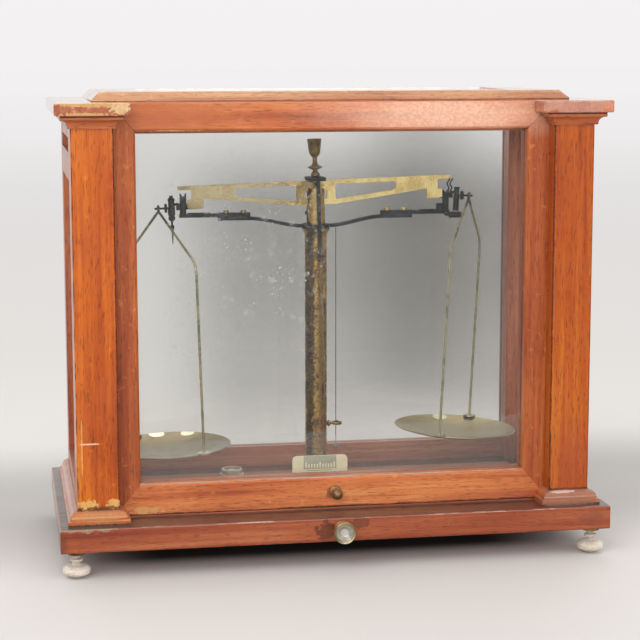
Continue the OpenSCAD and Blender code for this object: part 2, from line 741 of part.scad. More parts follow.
module arm_screws() {
    z0 = arm_top_z - clamp_t;
    color(beam_brass) balance_place() both() for (x = screw_x)
        translate([x, 0, 0]) difference() {
            union() {
                translate([0, 0, z0]) cylinder(r = 1, h = clamp_t + 0.1, $fn = 24);
                translate([0, 0, arm_top_z]) cylinder(r = 2.3, h = 2.2, $fn = 24);
            }
            block(-3, 3, -0.35, 0.35, arm_top_z + 1.3, arm_top_z + 3);
        }
}
module beam_rests() {
    z0 = arm_top_z - 0.6;
    top = knife_h - 4.4;
    v = 2.4;
    color(blued_steel) balance_place() both() translate([rest_x, rest_y, 0]) difference() {
        union() {
            translate([0, 0, z0]) cylinder(r = rest_r, h = top - z0);
            translate([0, 0, z0 - 2.9]) cylinder(r = 1.5, h = 3, $fn = 24);
        }
        along_y(-5, 5, [[-v, top + 0.01], [0, top - 3.4], [v, top + 0.01]]);
    }
}
module arrest_shaft() {
    color(nickel) case_place()
        pin_y(0, shaft_z, shaft_r, -plinth_d / 2 - knob_out + dish_deep - 0.4, bal_y + 16);
}
// The cam's outline is the envelope of a flat foot that rises evenly over a quarter turn
module arrest_cam() {
    rate = arrest_lift / 90;
    slope = rate * 180 / PI;
    rise = [for (a = [0:9:90]) let (h = cam_base + rate * a)
        [h * cos(a) - slope * sin(a), h * sin(a) + slope * cos(a)]];
    back = [for (a = [105:15:345]) let (t = (a - 90) / 270, h = cam_base + arrest_lift * (1 - t))
        [h * cos(a), h * sin(a)]];
    color(nickel) case_place() translate([0, bal_y + cam_t / 2, shaft_z]) rotate([90, 0, 0])
        rotate([0, 0, 90]) linear_extrude(cam_t) difference() {
            polygon(concat(rise, back));
            circle(r = shaft_r + hair / 2);
        }
}
module shaft_bushes() {
    y0 = -plinth_d / 2;
    color(aged_brass) case_place() {
        translate([0, y0, shaft_z]) rotate([90, 0, 0]) rotate_extrude()
            polygon([[shaft_r + slip, -15], [5, -15], [5, 0], [7.4, 0], [7.4, 0.8], [6.6, 1.5],
                     [shaft_r + slip, 1.5]]);
        difference() {
            block(-6, 6, bal_y + cam_t / 2 + 3, bal_y + cam_t / 2 + 11,
                  shaft_z - 6, floor_z - floor_t);
            pin_y(0, shaft_z, shaft_r + slip, bal_y, bal_y + 30);
        }
    }
}
module arrest_knob() {
    y0 = -plinth_d / 2 - 1.5 - seat;
    deep = knob_out - 1.5 - seat;
    color(aged_brass) case_place() translate([0, y0, shaft_z]) rotate([90, 0, 0]) rotate_extrude()
        polygon([[shaft_r + hair, 0], [5.4, 0], [5, 2.6], [knob_r - 0.6, 4.2], [knob_r, 5],
                 [knob_r, deep - 0.8], [knob_r - 0.6, deep], [knob_r - 1.5, deep - 0.3],
                 [shaft_r + 1, deep - dish_deep + 0.3], [shaft_r + hair, deep - dish_deep]]);
}

// Beam and what swings on it
module beam() {
    low_c = -16;
    low_e = -6.2;
    cut0 = 17;
    cut1 = 71;
    slope = (low_e - low_c) / (leg_in - cut0);
    rib_low = beam_top - beam_rib;
    half = [[finger_out, beam_top], [finger_out, beam_top - finger_t], [leg_out, beam_top - finger_t],
            [leg_out, -7], [boss_out, -7], [boss_out, -14], [leg_out, leg_low], [leg_in, leg_low],
            [leg_in, low_e], [cut0, low_c]];
    outline = concat(half, [for (i = [len(half) - 1:-1:0]) [-half[i][0], half[i][1]]]);
    window = concat([[cut0, low_c + 3.8], [cut1 - 3, low_c + 3.8 + slope * (cut1 - 3 - cut0)]],
                    arc(cut1 - 3, low_c + 7 + slope * (cut1 - cut0), 3, -70, 0, 4),
                    arc(cut1 - 2.4, rib_low - 2.4, 2.4, 0, 90, 4), [[cut0, rib_low]]);
    color(beam_brass) beam_place() difference() {
        along_y(-beam_t / 2, beam_t / 2, outline);
        both() along_y(-10, 10, window);
        block(-9.7, 9.7, -10, 10, -11.2, -4);
        along_y(-10, 10, [[0, -0.12], [2.35, 3.3], [-2.35, 3.3]]);
    }
}
// A steel bar passes behind each rest and carries the end knife beyond it
module knives() {
    bar_y = beam_t / 2;
    plate_x = arm_end + 0.8;
    color(blued_steel) beam_place() {
        along_y(-head_r, head_r, [[0, 0], [2.2, 3.2], [-2.2, 3.2]]);
        both() {
            block(leg_in + 4, plate_x + 2, bar_y, bar_y + 2.4, -15.4, -10.4);
            block(plate_x, plate_x + 2, -2, bar_y, -15.4, -9.2);
            block(plate_x + 2, arm_len + 1.6, -1.4, 1.4, -end_drop - 4, -end_drop - 1.8);
            along_y(-1.4, 1.4, [[arm_len - 1.3, -end_drop - 1.8], [arm_len + 1.3, -end_drop - 1.8],
                                [arm_len, -end_drop]]);
        }
    }
}
module yoke_plate() {
    color(blued_steel) beam_place() translate([0, 0, beam_top]) linear_extrude(yoke_t)
        polygon(rounded(-7.6, 7.6, -yoke_half, yoke_half, 1.5));
}
module pointer() {
    y0 = -yoke_half - 1;
    top = beam_top + yoke_t;
    sleeve_z = -64.5;
    color(blued_steel) beam_place()
        along_y(y0, y0 + 1, [[-1.6, top], [-1.6, -30], [-0.5, -pointer_len + 3], [0, -pointer_len],
                             [0.5, -pointer_len + 3], [1.6, -30], [1.6, top]]);
    color(beam_brass) beam_place() translate([0, y0 + 0.5, sleeve_z]) difference() {
        rotate_extrude() polygon([[0, 0], [1.9, 0], [2.4, 2], [2, 3.4], [3, 6.2], [2.8, 6.8], [0, 6.8]]);
        block(-1.65, 1.65, -0.55, 0.55, -1, 8);
    }
}
module poise_finial() {
    color(aged_brass) beam_place() translate([0, 0, beam_top + yoke_t]) rotate_extrude()
        polygon([[0, 0.3], [3.4, 0.3], [3.9, 1.3], [3.9, 2.5], [3.2, 3.8], [2.1, 5.2], [2.4, 6.4], [6, 8], [6.2, 9],
                 [3, 10.2], [1.9, 13], [2.1, 17], [3.2, 18.4], [4.6, 20], [5, 22], [6.2, 32.4],
                 [6, 33], [0, 33]]);
}
// A barrel on the left, a longer slim bar on the right, hangs on the end knife; its spindle
// carries a nut and the hanger's eye
module stirrup(s) {
    color(blued_steel) stirrup_place(s) {
        difference() {
            union() {
                if (s < 0) {
                    translate([0, 0, -12.1]) cylinder(r = barrel_r, h = 13.8, $fn = 32);
                    translate([0, 0, 1.7]) cylinder(r1 = barrel_r, r2 = 1.8, h = 1.4, $fn = 32);
                    translate([0, 0, 3]) cylinder(r = 1.6, h = 1.8, $fn = 24);
                } else {
                    translate([0, 0, -19.5]) cylinder(r = hook_r, h = 20.9, $fn = 32);
                }
                pin_x(0, spindle_z, spindle_r, hook_r - 0.6, spindle_x + 3.2);
            }
            block(-barrel_r - 1, barrel_r + 1, -1.9, 1.9, -4.8, seat);
        }
        difference() {
            pin_x(0, spindle_z, 3.9, 3.9, 5.9);
            pin_x(0, spindle_z, spindle_r + 0.03, 3.5, 6.3);
        }
    }
    if (s < 0)
        color(nickel) stirrup_place(s) translate([0, 0, -12.1]) rotate_extrude()
            polygon([[0, 0], [1.6, 0], [2.8, -1.2], [3, -2.6], [2.4, -4.2], [1, -5.2], [0.8, -8],
                     [2, -9.6], [1.6, -12], [0.8, -13.4], [0.7, -18], [0.3, -24.6], [0, -24.6]]);
}
function bow_dir(t) = [-t * sin(hanger_turn), -t * cos(hanger_turn), 0];
module hanger(s) {
    eye = [spindle_x, 0, spindle_z];
    top = eye + [0, 0, -2.3];
    bend = 7;
    slope = [pan_r, 2.3 - shoulder_drop];
    run = norm(slope);
    color(beam_brass) stirrup_place(s) {
        translate(eye) rotate([0, 90, 0]) rotate_extrude()
            translate([spindle_r + slip + wire_d / 2, 0]) circle(d = wire_d, $fn = 24);
        for (t = [-1, 1]) {
            corner = eye + bow_dir(t * pan_r) + [0, 0, -shoulder_drop];
            a = corner - bow_dir(t * bend * slope[0] / run) - [0, 0, bend * slope[1] / run];
            b = corner + [0, 0, -bend];
            m = (a + b) / 4 + corner / 2;
            rim = eye + bow_dir(t * pan_r) + [0, 0, pan_lip + hair - hanger_drop];
            pts = [top, a, m, b, rim + [0, 0, 0.7]];
            for (i = [0:3]) {
                rod(pts[i], pts[i + 1], wire_d);
                translate(pts[i]) sphere(d = wire_d + 0.12, $fn = 24);
            }
            translate(rim) cylinder(r = pad_r, h = 1.3, $fn = 32);
        }
    }
}
module pan(s) {
    ball_r = (pan_r * pan_r + pan_depth * pan_depth) / (2 * pan_depth);
    edge = asin(pan_r / ball_r);
    zc = ball_r - pan_depth;
    color(beam_brass) stirrup_place(s) translate([spindle_x, 0, spindle_z - hanger_drop]) {
        rotate_extrude($fn = 96) polygon(concat(
            arc(0, zc, ball_r, 270, 270 + edge, 12), [[pan_r + 0.7, 0.5], [pan_r + 0.3, pan_lip]],
            arc(0, zc, ball_r - pan_t, 270 + edge, 270, 12)));
    }
}
module plumb_bob() {
    top = ring_h + ring_t / 2 - arm_t / 2 + arm_rise * 0.08;
    low = bob_z + bob_r + 0.1;
    color(nickel) balance_place() translate([plumb_x, 0, 0]) {
        translate([0, 0, low - 0.5]) cylinder(r = 0.35, h = top - low, $fn = 16);
        translate([0, 0, bob_z]) sphere(r = bob_r, $fn = 32);
    }
}

plinth();
floor_board();
base_mouldings();
front_pilaster(-1);  // front_pilaster_left
front_pilaster(1);  // front_pilaster_right
rear_posts();
side_rails();
side_glasses();
back_rails();
back_glass();
capitals();
cap_slabs();
top_rails();
top_frame();
top_glass();
sash_frame();
sash_glass();
sash_knob();
pulley(-1);  // pulley_left
pulley(1);  // pulley_right
pulley_pins();
counterweights();
sash_cords();
weight_cords();
cord_loops();
levelling_screw(-1);  // levelling_screw_left
levelling_screw(1);  // levelling_screw_right
foot_sockets();
rear_foot();
level_case();
level_glass();
scale_plate();
scale_bracket();
column_base();
column_tube();
column_collar();
column_head();
agate_planes();
plumb_eye();
lift_rod();
arrest_arm();
outer_arms();
arm_screws();
beam_rests();
arrest_shaft();
arrest_cam();
shaft_bushes();
arrest_knob();
beam();
knives();
yoke_plate();
pointer();
poise_finial();
stirrup(-1);  // stirrup_left
stirrup(1);  // stirrup_right
hanger(-1);  // hanger_left
hanger(1);  // hanger_right
pan(-1);  // pan_left
pan(1);  // pan_right
plumb_bob();
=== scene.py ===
"""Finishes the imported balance: materials, fine pieces, floor, lamps and camera.

Everything is in metres in the part's own frame. Sizes are written in millimetres
and turned into metres by the one constant MM.
"""

from __future__ import annotations

import json
import logging
import math
from dataclasses import dataclass
from enum import Enum
from typing import Callable, Sequence, Union

import bmesh
import bpy
from mathutils import Matrix, Vector

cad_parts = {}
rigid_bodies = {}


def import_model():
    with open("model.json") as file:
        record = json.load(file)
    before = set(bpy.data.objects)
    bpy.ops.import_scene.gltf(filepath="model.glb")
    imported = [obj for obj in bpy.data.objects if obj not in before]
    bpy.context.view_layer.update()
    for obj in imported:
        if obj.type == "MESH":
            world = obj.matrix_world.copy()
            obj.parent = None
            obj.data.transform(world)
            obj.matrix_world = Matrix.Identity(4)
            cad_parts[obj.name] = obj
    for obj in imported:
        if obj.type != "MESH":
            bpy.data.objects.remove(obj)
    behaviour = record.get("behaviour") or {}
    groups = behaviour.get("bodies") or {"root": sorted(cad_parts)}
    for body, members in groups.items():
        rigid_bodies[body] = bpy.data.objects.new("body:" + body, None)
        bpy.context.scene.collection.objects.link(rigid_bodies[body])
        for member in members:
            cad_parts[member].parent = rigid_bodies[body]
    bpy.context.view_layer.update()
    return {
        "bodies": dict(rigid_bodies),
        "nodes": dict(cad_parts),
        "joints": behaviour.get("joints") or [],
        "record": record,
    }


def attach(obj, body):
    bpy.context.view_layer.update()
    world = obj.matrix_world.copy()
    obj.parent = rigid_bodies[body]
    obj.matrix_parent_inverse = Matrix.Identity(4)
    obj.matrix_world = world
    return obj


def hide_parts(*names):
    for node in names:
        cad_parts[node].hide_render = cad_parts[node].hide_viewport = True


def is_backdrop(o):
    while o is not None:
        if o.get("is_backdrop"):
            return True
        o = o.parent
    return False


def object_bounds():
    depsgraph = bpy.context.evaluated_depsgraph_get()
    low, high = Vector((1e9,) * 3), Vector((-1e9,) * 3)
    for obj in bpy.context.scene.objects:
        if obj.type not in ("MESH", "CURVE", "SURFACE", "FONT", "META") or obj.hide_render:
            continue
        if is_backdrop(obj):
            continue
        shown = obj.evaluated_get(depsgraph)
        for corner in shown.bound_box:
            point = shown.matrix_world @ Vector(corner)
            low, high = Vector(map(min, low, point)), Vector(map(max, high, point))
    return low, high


LOG = logging.getLogger("balance")
MM = 0.001
Colour = tuple[float, float, float, float]
Point = tuple[float, float, float]


def screen(red: float, green: float, blue: float) -> Colour:
    """A screen colour as the linear colour that a shader takes.

    Args:
        red: 0 to 255.
        green: 0 to 255.
        blue: 0 to 255.

    Returns:
        The linear colour, with full alpha.
    """

    def linear(value: float) -> float:
        """One channel, from its screen value."""
        share = value / 255
        return share / 12.92 if share <= 0.04045 else ((share + 0.055) / 1.055) ** 2.4

    return (linear(red), linear(green), linear(blue), 1.0)


def metres(point: Sequence[float]) -> Vector:
    """A point in millimetres as a vector in metres."""
    return Vector(point) * MM


class Axis(Enum):
    """A direction of the part's frame."""

    X = 0
    Y = 1
    Z = 2


class Side(Enum):
    """The left or the right of the balance."""

    LEFT = -1
    RIGHT = 1


class Wire:
    """A socket's value, which takes part in Python expressions."""

    def __init__(self, graph: "Graph", socket: bpy.types.NodeSocket) -> None:
        """Keeps the node graph and the socket."""
        self.graph = graph
        self.socket = socket

    def _math(self, operation: str, first: "Value", second: "Value" = 0.0) -> "Wire":
        """Adds one Math node on two values."""
        return self.graph.add("ShaderNodeMath", {"operation": operation}, {0: first, 1: second})

    def __add__(self, other: "Value") -> "Wire":
        """The sum."""
        return self._math("ADD", self, other)

    def __radd__(self, other: "Value") -> "Wire":
        """The sum, with the number first."""
        return self._math("ADD", other, self)

    def __sub__(self, other: "Value") -> "Wire":
        """The difference."""
        return self._math("SUBTRACT", self, other)

    def __rsub__(self, other: "Value") -> "Wire":
        """The difference, with the number first."""
        return self._math("SUBTRACT", other, self)

    def __mul__(self, other: "Value") -> "Wire":
        """The product."""
        return self._math("MULTIPLY", self, other)

    def __rmul__(self, other: "Value") -> "Wire":
        """The product, with the number first."""
        return self._math("MULTIPLY", other, self)

    def __truediv__(self, other: "Value") -> "Wire":
        """The quotient."""
        return self._math("DIVIDE", self, other)

    def __pow__(self, other: "Value") -> "Wire":
        """The power."""
        return self._math("POWER", self, other)

    def __abs__(self) -> "Wire":
        """The value without its sign."""
        return self._math("ABSOLUTE", self)

    def __lt__(self, other: "Value") -> "Wire":
        """1 where the value is the smaller, else 0."""
        return self._math("LESS_THAN", self, other)

    def __gt__(self, other: "Value") -> "Wire":
        """1 where the value is the larger, else 0."""
        return self._math("GREATER_THAN", self, other)

    def least(self, other: "Value") -> "Wire":
        """The smaller of two values."""
        return self._math("MINIMUM", self, other)

    def most(self, other: "Value") -> "Wire":
        """The larger of two values."""
        return self._math("MAXIMUM", self, other)

    def sine(self) -> "Wire":
        """The sine of the value in radians."""
        return self._math("SINE", self)

    def rise(self, low: float, high: float) -> "Wire":
        """A smooth step from 0 at low to 1 at high, or down where low is the larger.

        Args:
            low: The value that gives 0.
            high: The value that gives 1.

        Returns:
            The step, between 0 and 1.
        """
        settings = {"interpolation_type": "SMOOTHSTEP"}
        if low < high:
            return self.graph.add("ShaderNodeMapRange", settings, {0: self, 1: low, 2: high})
        return 1 - self.graph.add("ShaderNodeMapRange", settings, {0: self, 1: high, 2: low})


Value = Union[Wire, float, int]
Paint = Union[Wire, Colour]


class Graph:
    """A material's or the world's node tree, built by plain calls."""

    def __init__(self, tree: bpy.types.NodeTree) -> None:
        """Empties the tree."""
        self.tree = tree
        self.tree.nodes.clear()

    def add(
        self,
        kind: str,
        settings: dict[str, object] | None = None,
        inputs: dict[int | str, object] | None = None,
        out: int | str = 0,
    ) -> Wire:
        """Adds a node.

        Args:
            kind: The node's type.
            settings: Its properties, set first; "stops" are a ramp's places and colours.
            inputs: The values or links of its sockets, by name or number.
            out: The output that the result reads.

        Returns:
            The output as a wire.
        """
        node = self.tree.nodes.new(kind)
        for key, value in (settings or {}).items():
            if key == "stops":
                self._set_stops(node.color_ramp, value)
            else:
                setattr(node, key, value)
        for key, value in (inputs or {}).items():
            if isinstance(value, Wire):
                self.tree.links.new(value.socket, node.inputs[key])
            else:
                node.inputs[key].default_value = value
        return Wire(self, node.outputs[out] if len(node.outputs) else None)

    @staticmethod
    def _set_stops(ramp: bpy.types.ColorRamp, stops: Sequence[tuple[float, Colour]]) -> None:
        """Gives a colour ramp its stops."""
        while len(ramp.elements) > 1:
            ramp.elements.remove(ramp.elements[-1])
        ramp.elements[0].position, ramp.elements[0].color = stops[0]
        for position, colour in stops[1:]:
            ramp.elements.new(position).color = colour

    def place(self) -> Wire:
        """The object's own coordinates."""
        return self.add("ShaderNodeTexCoord", out="Object")

    def axes(self) -> list[Wire]:
        """The object's own coordinates as three numbers."""
        node = self.add("ShaderNodeSeparateXYZ", {}, {0: self.place()}).socket.node
        return [Wire(self, output) for output in node.outputs]

    def upward(self) -> Wire:
        """How far the surface faces up, from -1 to 1."""
        normal = self.add("ShaderNodeNewGeometry", out="Normal")
        return self.add("ShaderNodeSeparateXYZ", {}, {0: normal}, out="Z")

    def noise(
        self, cycles: Sequence[float], detail: float = 2.0, rough: float = 0.5, seed: float = 0.0
    ) -> Wire:
        """Noise over the object's coordinates.

        Args:
            cycles: Blotches per metre along X, Y and Z.
            detail: The number of finer layers.
            rough: How strong the finer layers are.
            seed: Shifts the pattern.

        Returns:
            The noise, about 0.5.
        """
        vector = self.add(
            "ShaderNodeMapping",
            {},
            {"Vector": self.place(), "Scale": tuple(cycles), "Location": (seed, seed * 1.7, seed * 0.6)},
        )
        return self.add(
            "ShaderNodeTexNoise", {}, {"Vector": vector, "Scale": 1.0, "Detail": detail, "Roughness": rough}
        )

    def even_noise(self, cycles: float, detail: float = 2.0, seed: float = 0.0) -> Wire:
        """Noise with the same number of blotches per metre every way."""
        return self.noise((cycles, cycles, cycles), detail, 0.55, seed)

    def blend(self, mask: Value, first: Paint, second: Paint) -> Wire:
        """Goes from the first colour to the second as the mask goes from 0 to 1."""
        return self.add(
            "ShaderNodeMix", {"data_type": "RGBA"}, {"Factor": mask, 6: first, 7: second}, out=2
        )

    def shift(self, point: Sequence[float]) -> Wire:
        """The object's coordinates counted from a point in metres."""
        return self.add(
            "ShaderNodeVectorMath", {"operation": "SUBTRACT"}, {0: self.place(), 1: tuple(point)}
        )

    def surface(self, shader: Wire) -> None:
        """Makes a shader the material's surface."""
        self.add("ShaderNodeOutputMaterial", {}, {"Surface": shader})

    def principled(
        self, inputs: dict[str, object], height: Wire | None = None, depth: float = 0.1
    ) -> Wire:
        """A Principled shader with an optional bump.

        Args:
            inputs: The shader's sockets by name.
            height: The bump's height, from 0 to 1.
            depth: The depth of that height in millimetres.

        Returns:
            The shader.
        """
        inputs = dict(inputs)
        if height is not None:
            bump = self.add(
                "ShaderNodeBump", {}, {"Strength": 1.0, "Distance": depth * MM, "Height": height}
            )
            inputs["Normal"] = bump
        return self.add("ShaderNodeBsdfPrincipled", {}, inputs)


@dataclass(frozen=True)
class Patch:
    """A place of its own colour: its middle, its reach, both in mm, and its colour. Patches paint wear, dirt and tone,
    and some of them are painted highlights and painted shade.
    """

    middle: Point
    reach: Point
    colour: Colour
    ragged: float = 0.9
    cycles: float = 260.0
    full: float = 1.0
    soft: float = 0.16

    def mask(self, graph: Graph, seed: float) -> Wire:
        """1 inside the patch, with a ragged edge."""
        offset = graph.shift(metres(self.middle))
        scaled = graph.add(
            "ShaderNodeVectorMath",
            {"operation": "DIVIDE"},
            {0: offset, 1: tuple(metres(self.reach))},
        )
        length = graph.add("ShaderNodeVectorMath", {"operation": "LENGTH"}, {0: scaled}, out="Value")
        edge = (graph.even_noise(self.cycles, 4, seed) - 0.5) * self.ragged * 2
        return (1 - length + edge).rise(0, self.soft) * self.full


@dataclass(frozen=True)
class Cloud:
    """A soft-edged cloud between two corners in mm, on two of the axes."""

    low: tuple[float, float]
    high: tuple[float, float]
    soft: tuple[float, float]
    cover: float
    over: tuple[Axis, Axis] = (Axis.X, Axis.Z)

    def mask(self, graph: Graph) -> Wire:
        """The cover, which fades out softly."""
        axes = graph.axes()
        whole: Value = self.cover
        for axis, low, high, soft in zip(self.over, self.low, self.high, self.soft):
            place = axes[axis.value]
            whole = place.rise((low - soft) * MM, (low + soft) * MM) * whole
            whole = place.rise((high + soft) * MM, (high - soft) * MM) * whole
        return whole


@dataclass(frozen=True)
class Edge:
    """A broken line of colour along an edge that runs along one axis: its place on the other two, and its reach, in mm.
    Some lines paint wear and residue, others are painted shade along creases and edges.
    """

    along: Axis
    at: tuple[float, float]
    reach: float
    colour: Colour
    amount: float = 0.5

    def mask(self, graph: Graph, seed: float) -> Wire:
        """1 on the broken stretches of the line along the edge."""
        axes = graph.axes()
        across = [axes[i] for i in range(3) if i != self.along.value]
        first = across[0] - self.at[0] * MM
        second = across[1] - self.at[1] * MM
        distance = (first * first + second * second) ** 0.5 * (1 / (self.reach * MM))
        cycles = [420.0, 420.0, 420.0]
        cycles[self.along.value] = 60.0
        marking = graph.noise(cycles, 3, 0.6, seed).rise(0.72 - self.amount * 0.4, 0.9 - self.amount * 0.4)
        return (1 - distance + (graph.even_noise(700, 2, seed) - 0.5)).rise(0, 0.3) * marking


@dataclass(frozen=True)
class Joint:
    """Where a piece's grain turns from one member to the next. This one never turns."""

    def masks(self, graph: Graph) -> tuple[Value, Value]:
        """The share of the second grain and the dark joint line, from 0 to 1."""
        return 0.0, 0.0


@dataclass(frozen=True)
class Mitre(Joint):
    """A frame with mitred corners, in mm: X across, and the other axis up."""

    half: float
    side: float
    low: float
    high: float
    low_side: float
    high_side: float
    up: Axis = Axis.Z
    middle: float = 0.0
    line_low: float = 0.15
    line_high: float = 1.0

    def masks(self, graph: Graph) -> tuple[Value, Value]:
        """The second grain is in the members that run up."""
        axes = graph.axes()
        u = (self.half * MM - abs(axes[0] - self.middle * MM)) * (1 / (self.side * MM))
        v = axes[self.up.value]
        low = (v - self.low * MM) * (1 / (self.low_side * MM))
        high = (self.high * MM - v) * (1 / (self.high_side * MM))
        w = low.least(high)
        upper = high < low
        return u < w, (abs(u - w) < 0.022) * (upper * self.line_high + (1 - upper) * self.line_low)


@dataclass(frozen=True)
class Lap(Joint):
    """A base of two long boards with end boards between them, in mm."""

    end_in: float
    board_in: float
    middle: float

    def masks(self, graph: Graph) -> tuple[Value, Value]:
        """The second grain is in the end boards."""
        x, y, _ = graph.axes()
        inside = (abs(y - self.middle * MM)) < self.board_in * MM
        outer = abs(x) > self.end_in * MM
        seam = (abs(abs(y - self.middle * MM) - self.board_in * MM) < 0.0003) * outer
        return inside * outer, seam


@dataclass(frozen=True)
class Return(Joint):
    """A moulding that turns the corners of a post, in mm."""

    inner: float
    outer: float
    front: float

    def masks(self, graph: Graph) -> tuple[Value, Value]:
        """The second grain is in the stretches along the sides."""
        x, y, _ = graph.axes()
        side = (abs(x) - self.outer * MM).most(self.inner * MM - abs(x))
        face = self.front * MM - y
        return face < side, abs(face - side) < 0.0002


@dataclass(frozen=True)
class Finish:
    """What a surface looks like. The name is its material's name."""

    name: str

    def build(self, graph: Graph) -> None:
        """Fills the material's nodes."""
        raise NotImplementedError

    def material(self) -> bpy.types.Material:
        """The finish's material, made once."""
        name = "finish_" + self.name
        made = bpy.data.materials.get(name)
        if made is None:
            made = bpy.data.materials.new(name)
            made.use_nodes = True
            self.build(Graph(made.node_tree))
        return made


PILASTER_TONES = (screen(112, 44, 18), screen(186, 88, 32), screen(213, 116, 46), screen(232, 152, 78))
RAIL_TONES = (screen(104, 46, 32), screen(168, 86, 54), screen(196, 116, 78), screen(222, 154, 112))
RAW_WOOD = screen(214, 168, 96)
GREY_DUST = screen(150, 132, 116)


@dataclass(frozen=True)
class Wood(Finish):
    """Old polished mahogany, whose grain runs along one axis, or two where members meet."""

    grain: Axis = Axis.Z
    second: Axis = Axis.Z
    joint: Joint = Joint()
    tones: tuple[Colour, ...] = PILASTER_TONES
    tint: tuple[float, float, float] = (1.0, 1.0, 1.0)
    second_tint: tuple[float, float, float] | None = None
    painted_top_shade: float = 0.0
    seed: float = 0.0
    polish: float = 0.34
    coat: float = 0.4
    coat_rough: float = 0.12
    figure: float = 58.0
    dust: float = 0.25
    patches: tuple[Patch, ...] = ()
    edges: tuple[Edge, ...] = ()

    def tinted(self, tint: tuple[float, float, float] | None = None) -> list[Colour]:
        """The tones times a tint."""
        factors = tint or self.tint
        return [(*(min(0.95, a * b) for a, b in zip(tone, factors)), 1.0) for tone in self.tones]

    def grained(
        self, graph: Graph, axis: Axis, seed: float, tint: tuple[float, float, float] | None = None
    ) -> tuple[Wire, Wire]:
        """The wood's colour and height for a grain along one axis.

        Args:
            graph: The material's nodes.
            axis: The grain's direction.
            seed: Shifts the pattern.
            tint: The tones' factors, where they aren't the finish's own.

        Returns:
            The colour, and the height from 0 to 1.
        """

        def along(across: float, length: float) -> list[float]:
            """Cycles per metre, few along the grain."""
            cycles = [across] * 3
            cycles[axis.value] = length
            return cycles

        figure = graph.noise(along(self.figure, 2.6), 3, 0.6, seed)
        ribbon = graph.noise(along(230, 7), 3, 0.62, seed + 3)
        cloud = graph.noise(along(16, 9), 2, 0.5, seed + 5)
        fibre = graph.noise(along(1300, 60), 2, 0.6, seed + 7)
        pores = graph.noise(along(1150, 120), 1, 0.5, seed + 11).rise(0.57, 0.70)
        tone = figure * 0.46 + ribbon * 0.3 + cloud * 0.24
        dark, mid, light, gold = self.tinted(tint)
        stops = ((0.30, dark), (0.43, mid), (0.54, light), (0.64, gold))
        colour = graph.add("ShaderNodeValToRGB", {"stops": stops}, {0: tone})
        colour = graph.blend(fibre.rise(0.34, 0.62) * 0.3, graph.blend(0.30, colour, dark), colour)
        colour = graph.blend(pores * 0.5, colour, graph.blend(0.35, dark, (0.01, 0.004, 0.003, 1)))
        return colour, fibre * 0.45 - pores * 0.8 + ribbon * 0.3

    def build(self, graph: Graph) -> None:
        """Grain, joints, wear and dust, with painted highlights and painted shade from the edges and patches, and a
        painted darker top where a finish asks for it.
        """
        colour, height = self.grained(graph, self.grain, self.seed)
        if not type(self.joint) is Joint:
            other, other_height = self.grained(graph, self.second, self.seed + 31, self.second_tint)
            mask, seam = self.joint.masks(graph)
            colour = graph.blend(mask, colour, other)
            height = height * (1 - mask) + other_height * mask
            colour = graph.blend(seam * 0.75, colour, screen(52, 24, 14))
            height = height - seam * 1.5
        rough = graph.even_noise(38, 3, self.seed + 2).rise(0.3, 0.75) * 0.2 + self.polish
        scuffs = graph.even_noise(120, 4, self.seed + 4).rise(0.62, 0.74)
        colour = graph.blend(scuffs * 0.22, colour, self.tinted()[3])
        specks = graph.even_noise(340, 3, self.seed + 13).rise(0.68, 0.74)
        colour = graph.blend(specks * 0.35, colour, screen(60, 30, 18))
        # Edges and patches paint wear, dirt and residue, and on some finishes painted highlights and painted shade
        # along creases.
        for number, marking in enumerate((*self.edges, *self.patches)):
            mask = marking.mask(graph, self.seed + number)
            mottle = graph.even_noise(520, 3, self.seed + number).rise(0.3, 0.7)
            colour = graph.blend(mask, colour, graph.blend(mottle * 0.35, marking.colour, self.tinted()[1]))
            rough = rough + mask * 0.3
            height = height - mask * 0.6
        up = graph.upward().rise(0.6, 0.95)
        # Painted shade: faces that look up are made darker.
        if self.painted_top_shade:
            colour = graph.blend(up * self.painted_top_shade, colour, screen(40, 20, 14))
        lying = up * graph.even_noise(45, 5, self.seed + 6).rise(0.25, 0.7)
        colour = graph.blend(lying * self.dust, colour, GREY_DUST)
        rough = (rough + lying * self.dust * 0.5).least(0.85)
        coat = (1 - lying * self.dust) * self.coat
        shader = graph.principled(
            {
                "Base Color": colour,
                "Roughness": rough,
                "Specular IOR Level": 0.3,
                "Coat Weight": coat,
                "Coat Roughness": self.coat_rough,
            },
            height,
            0.1,
        )
        graph.surface(shader)


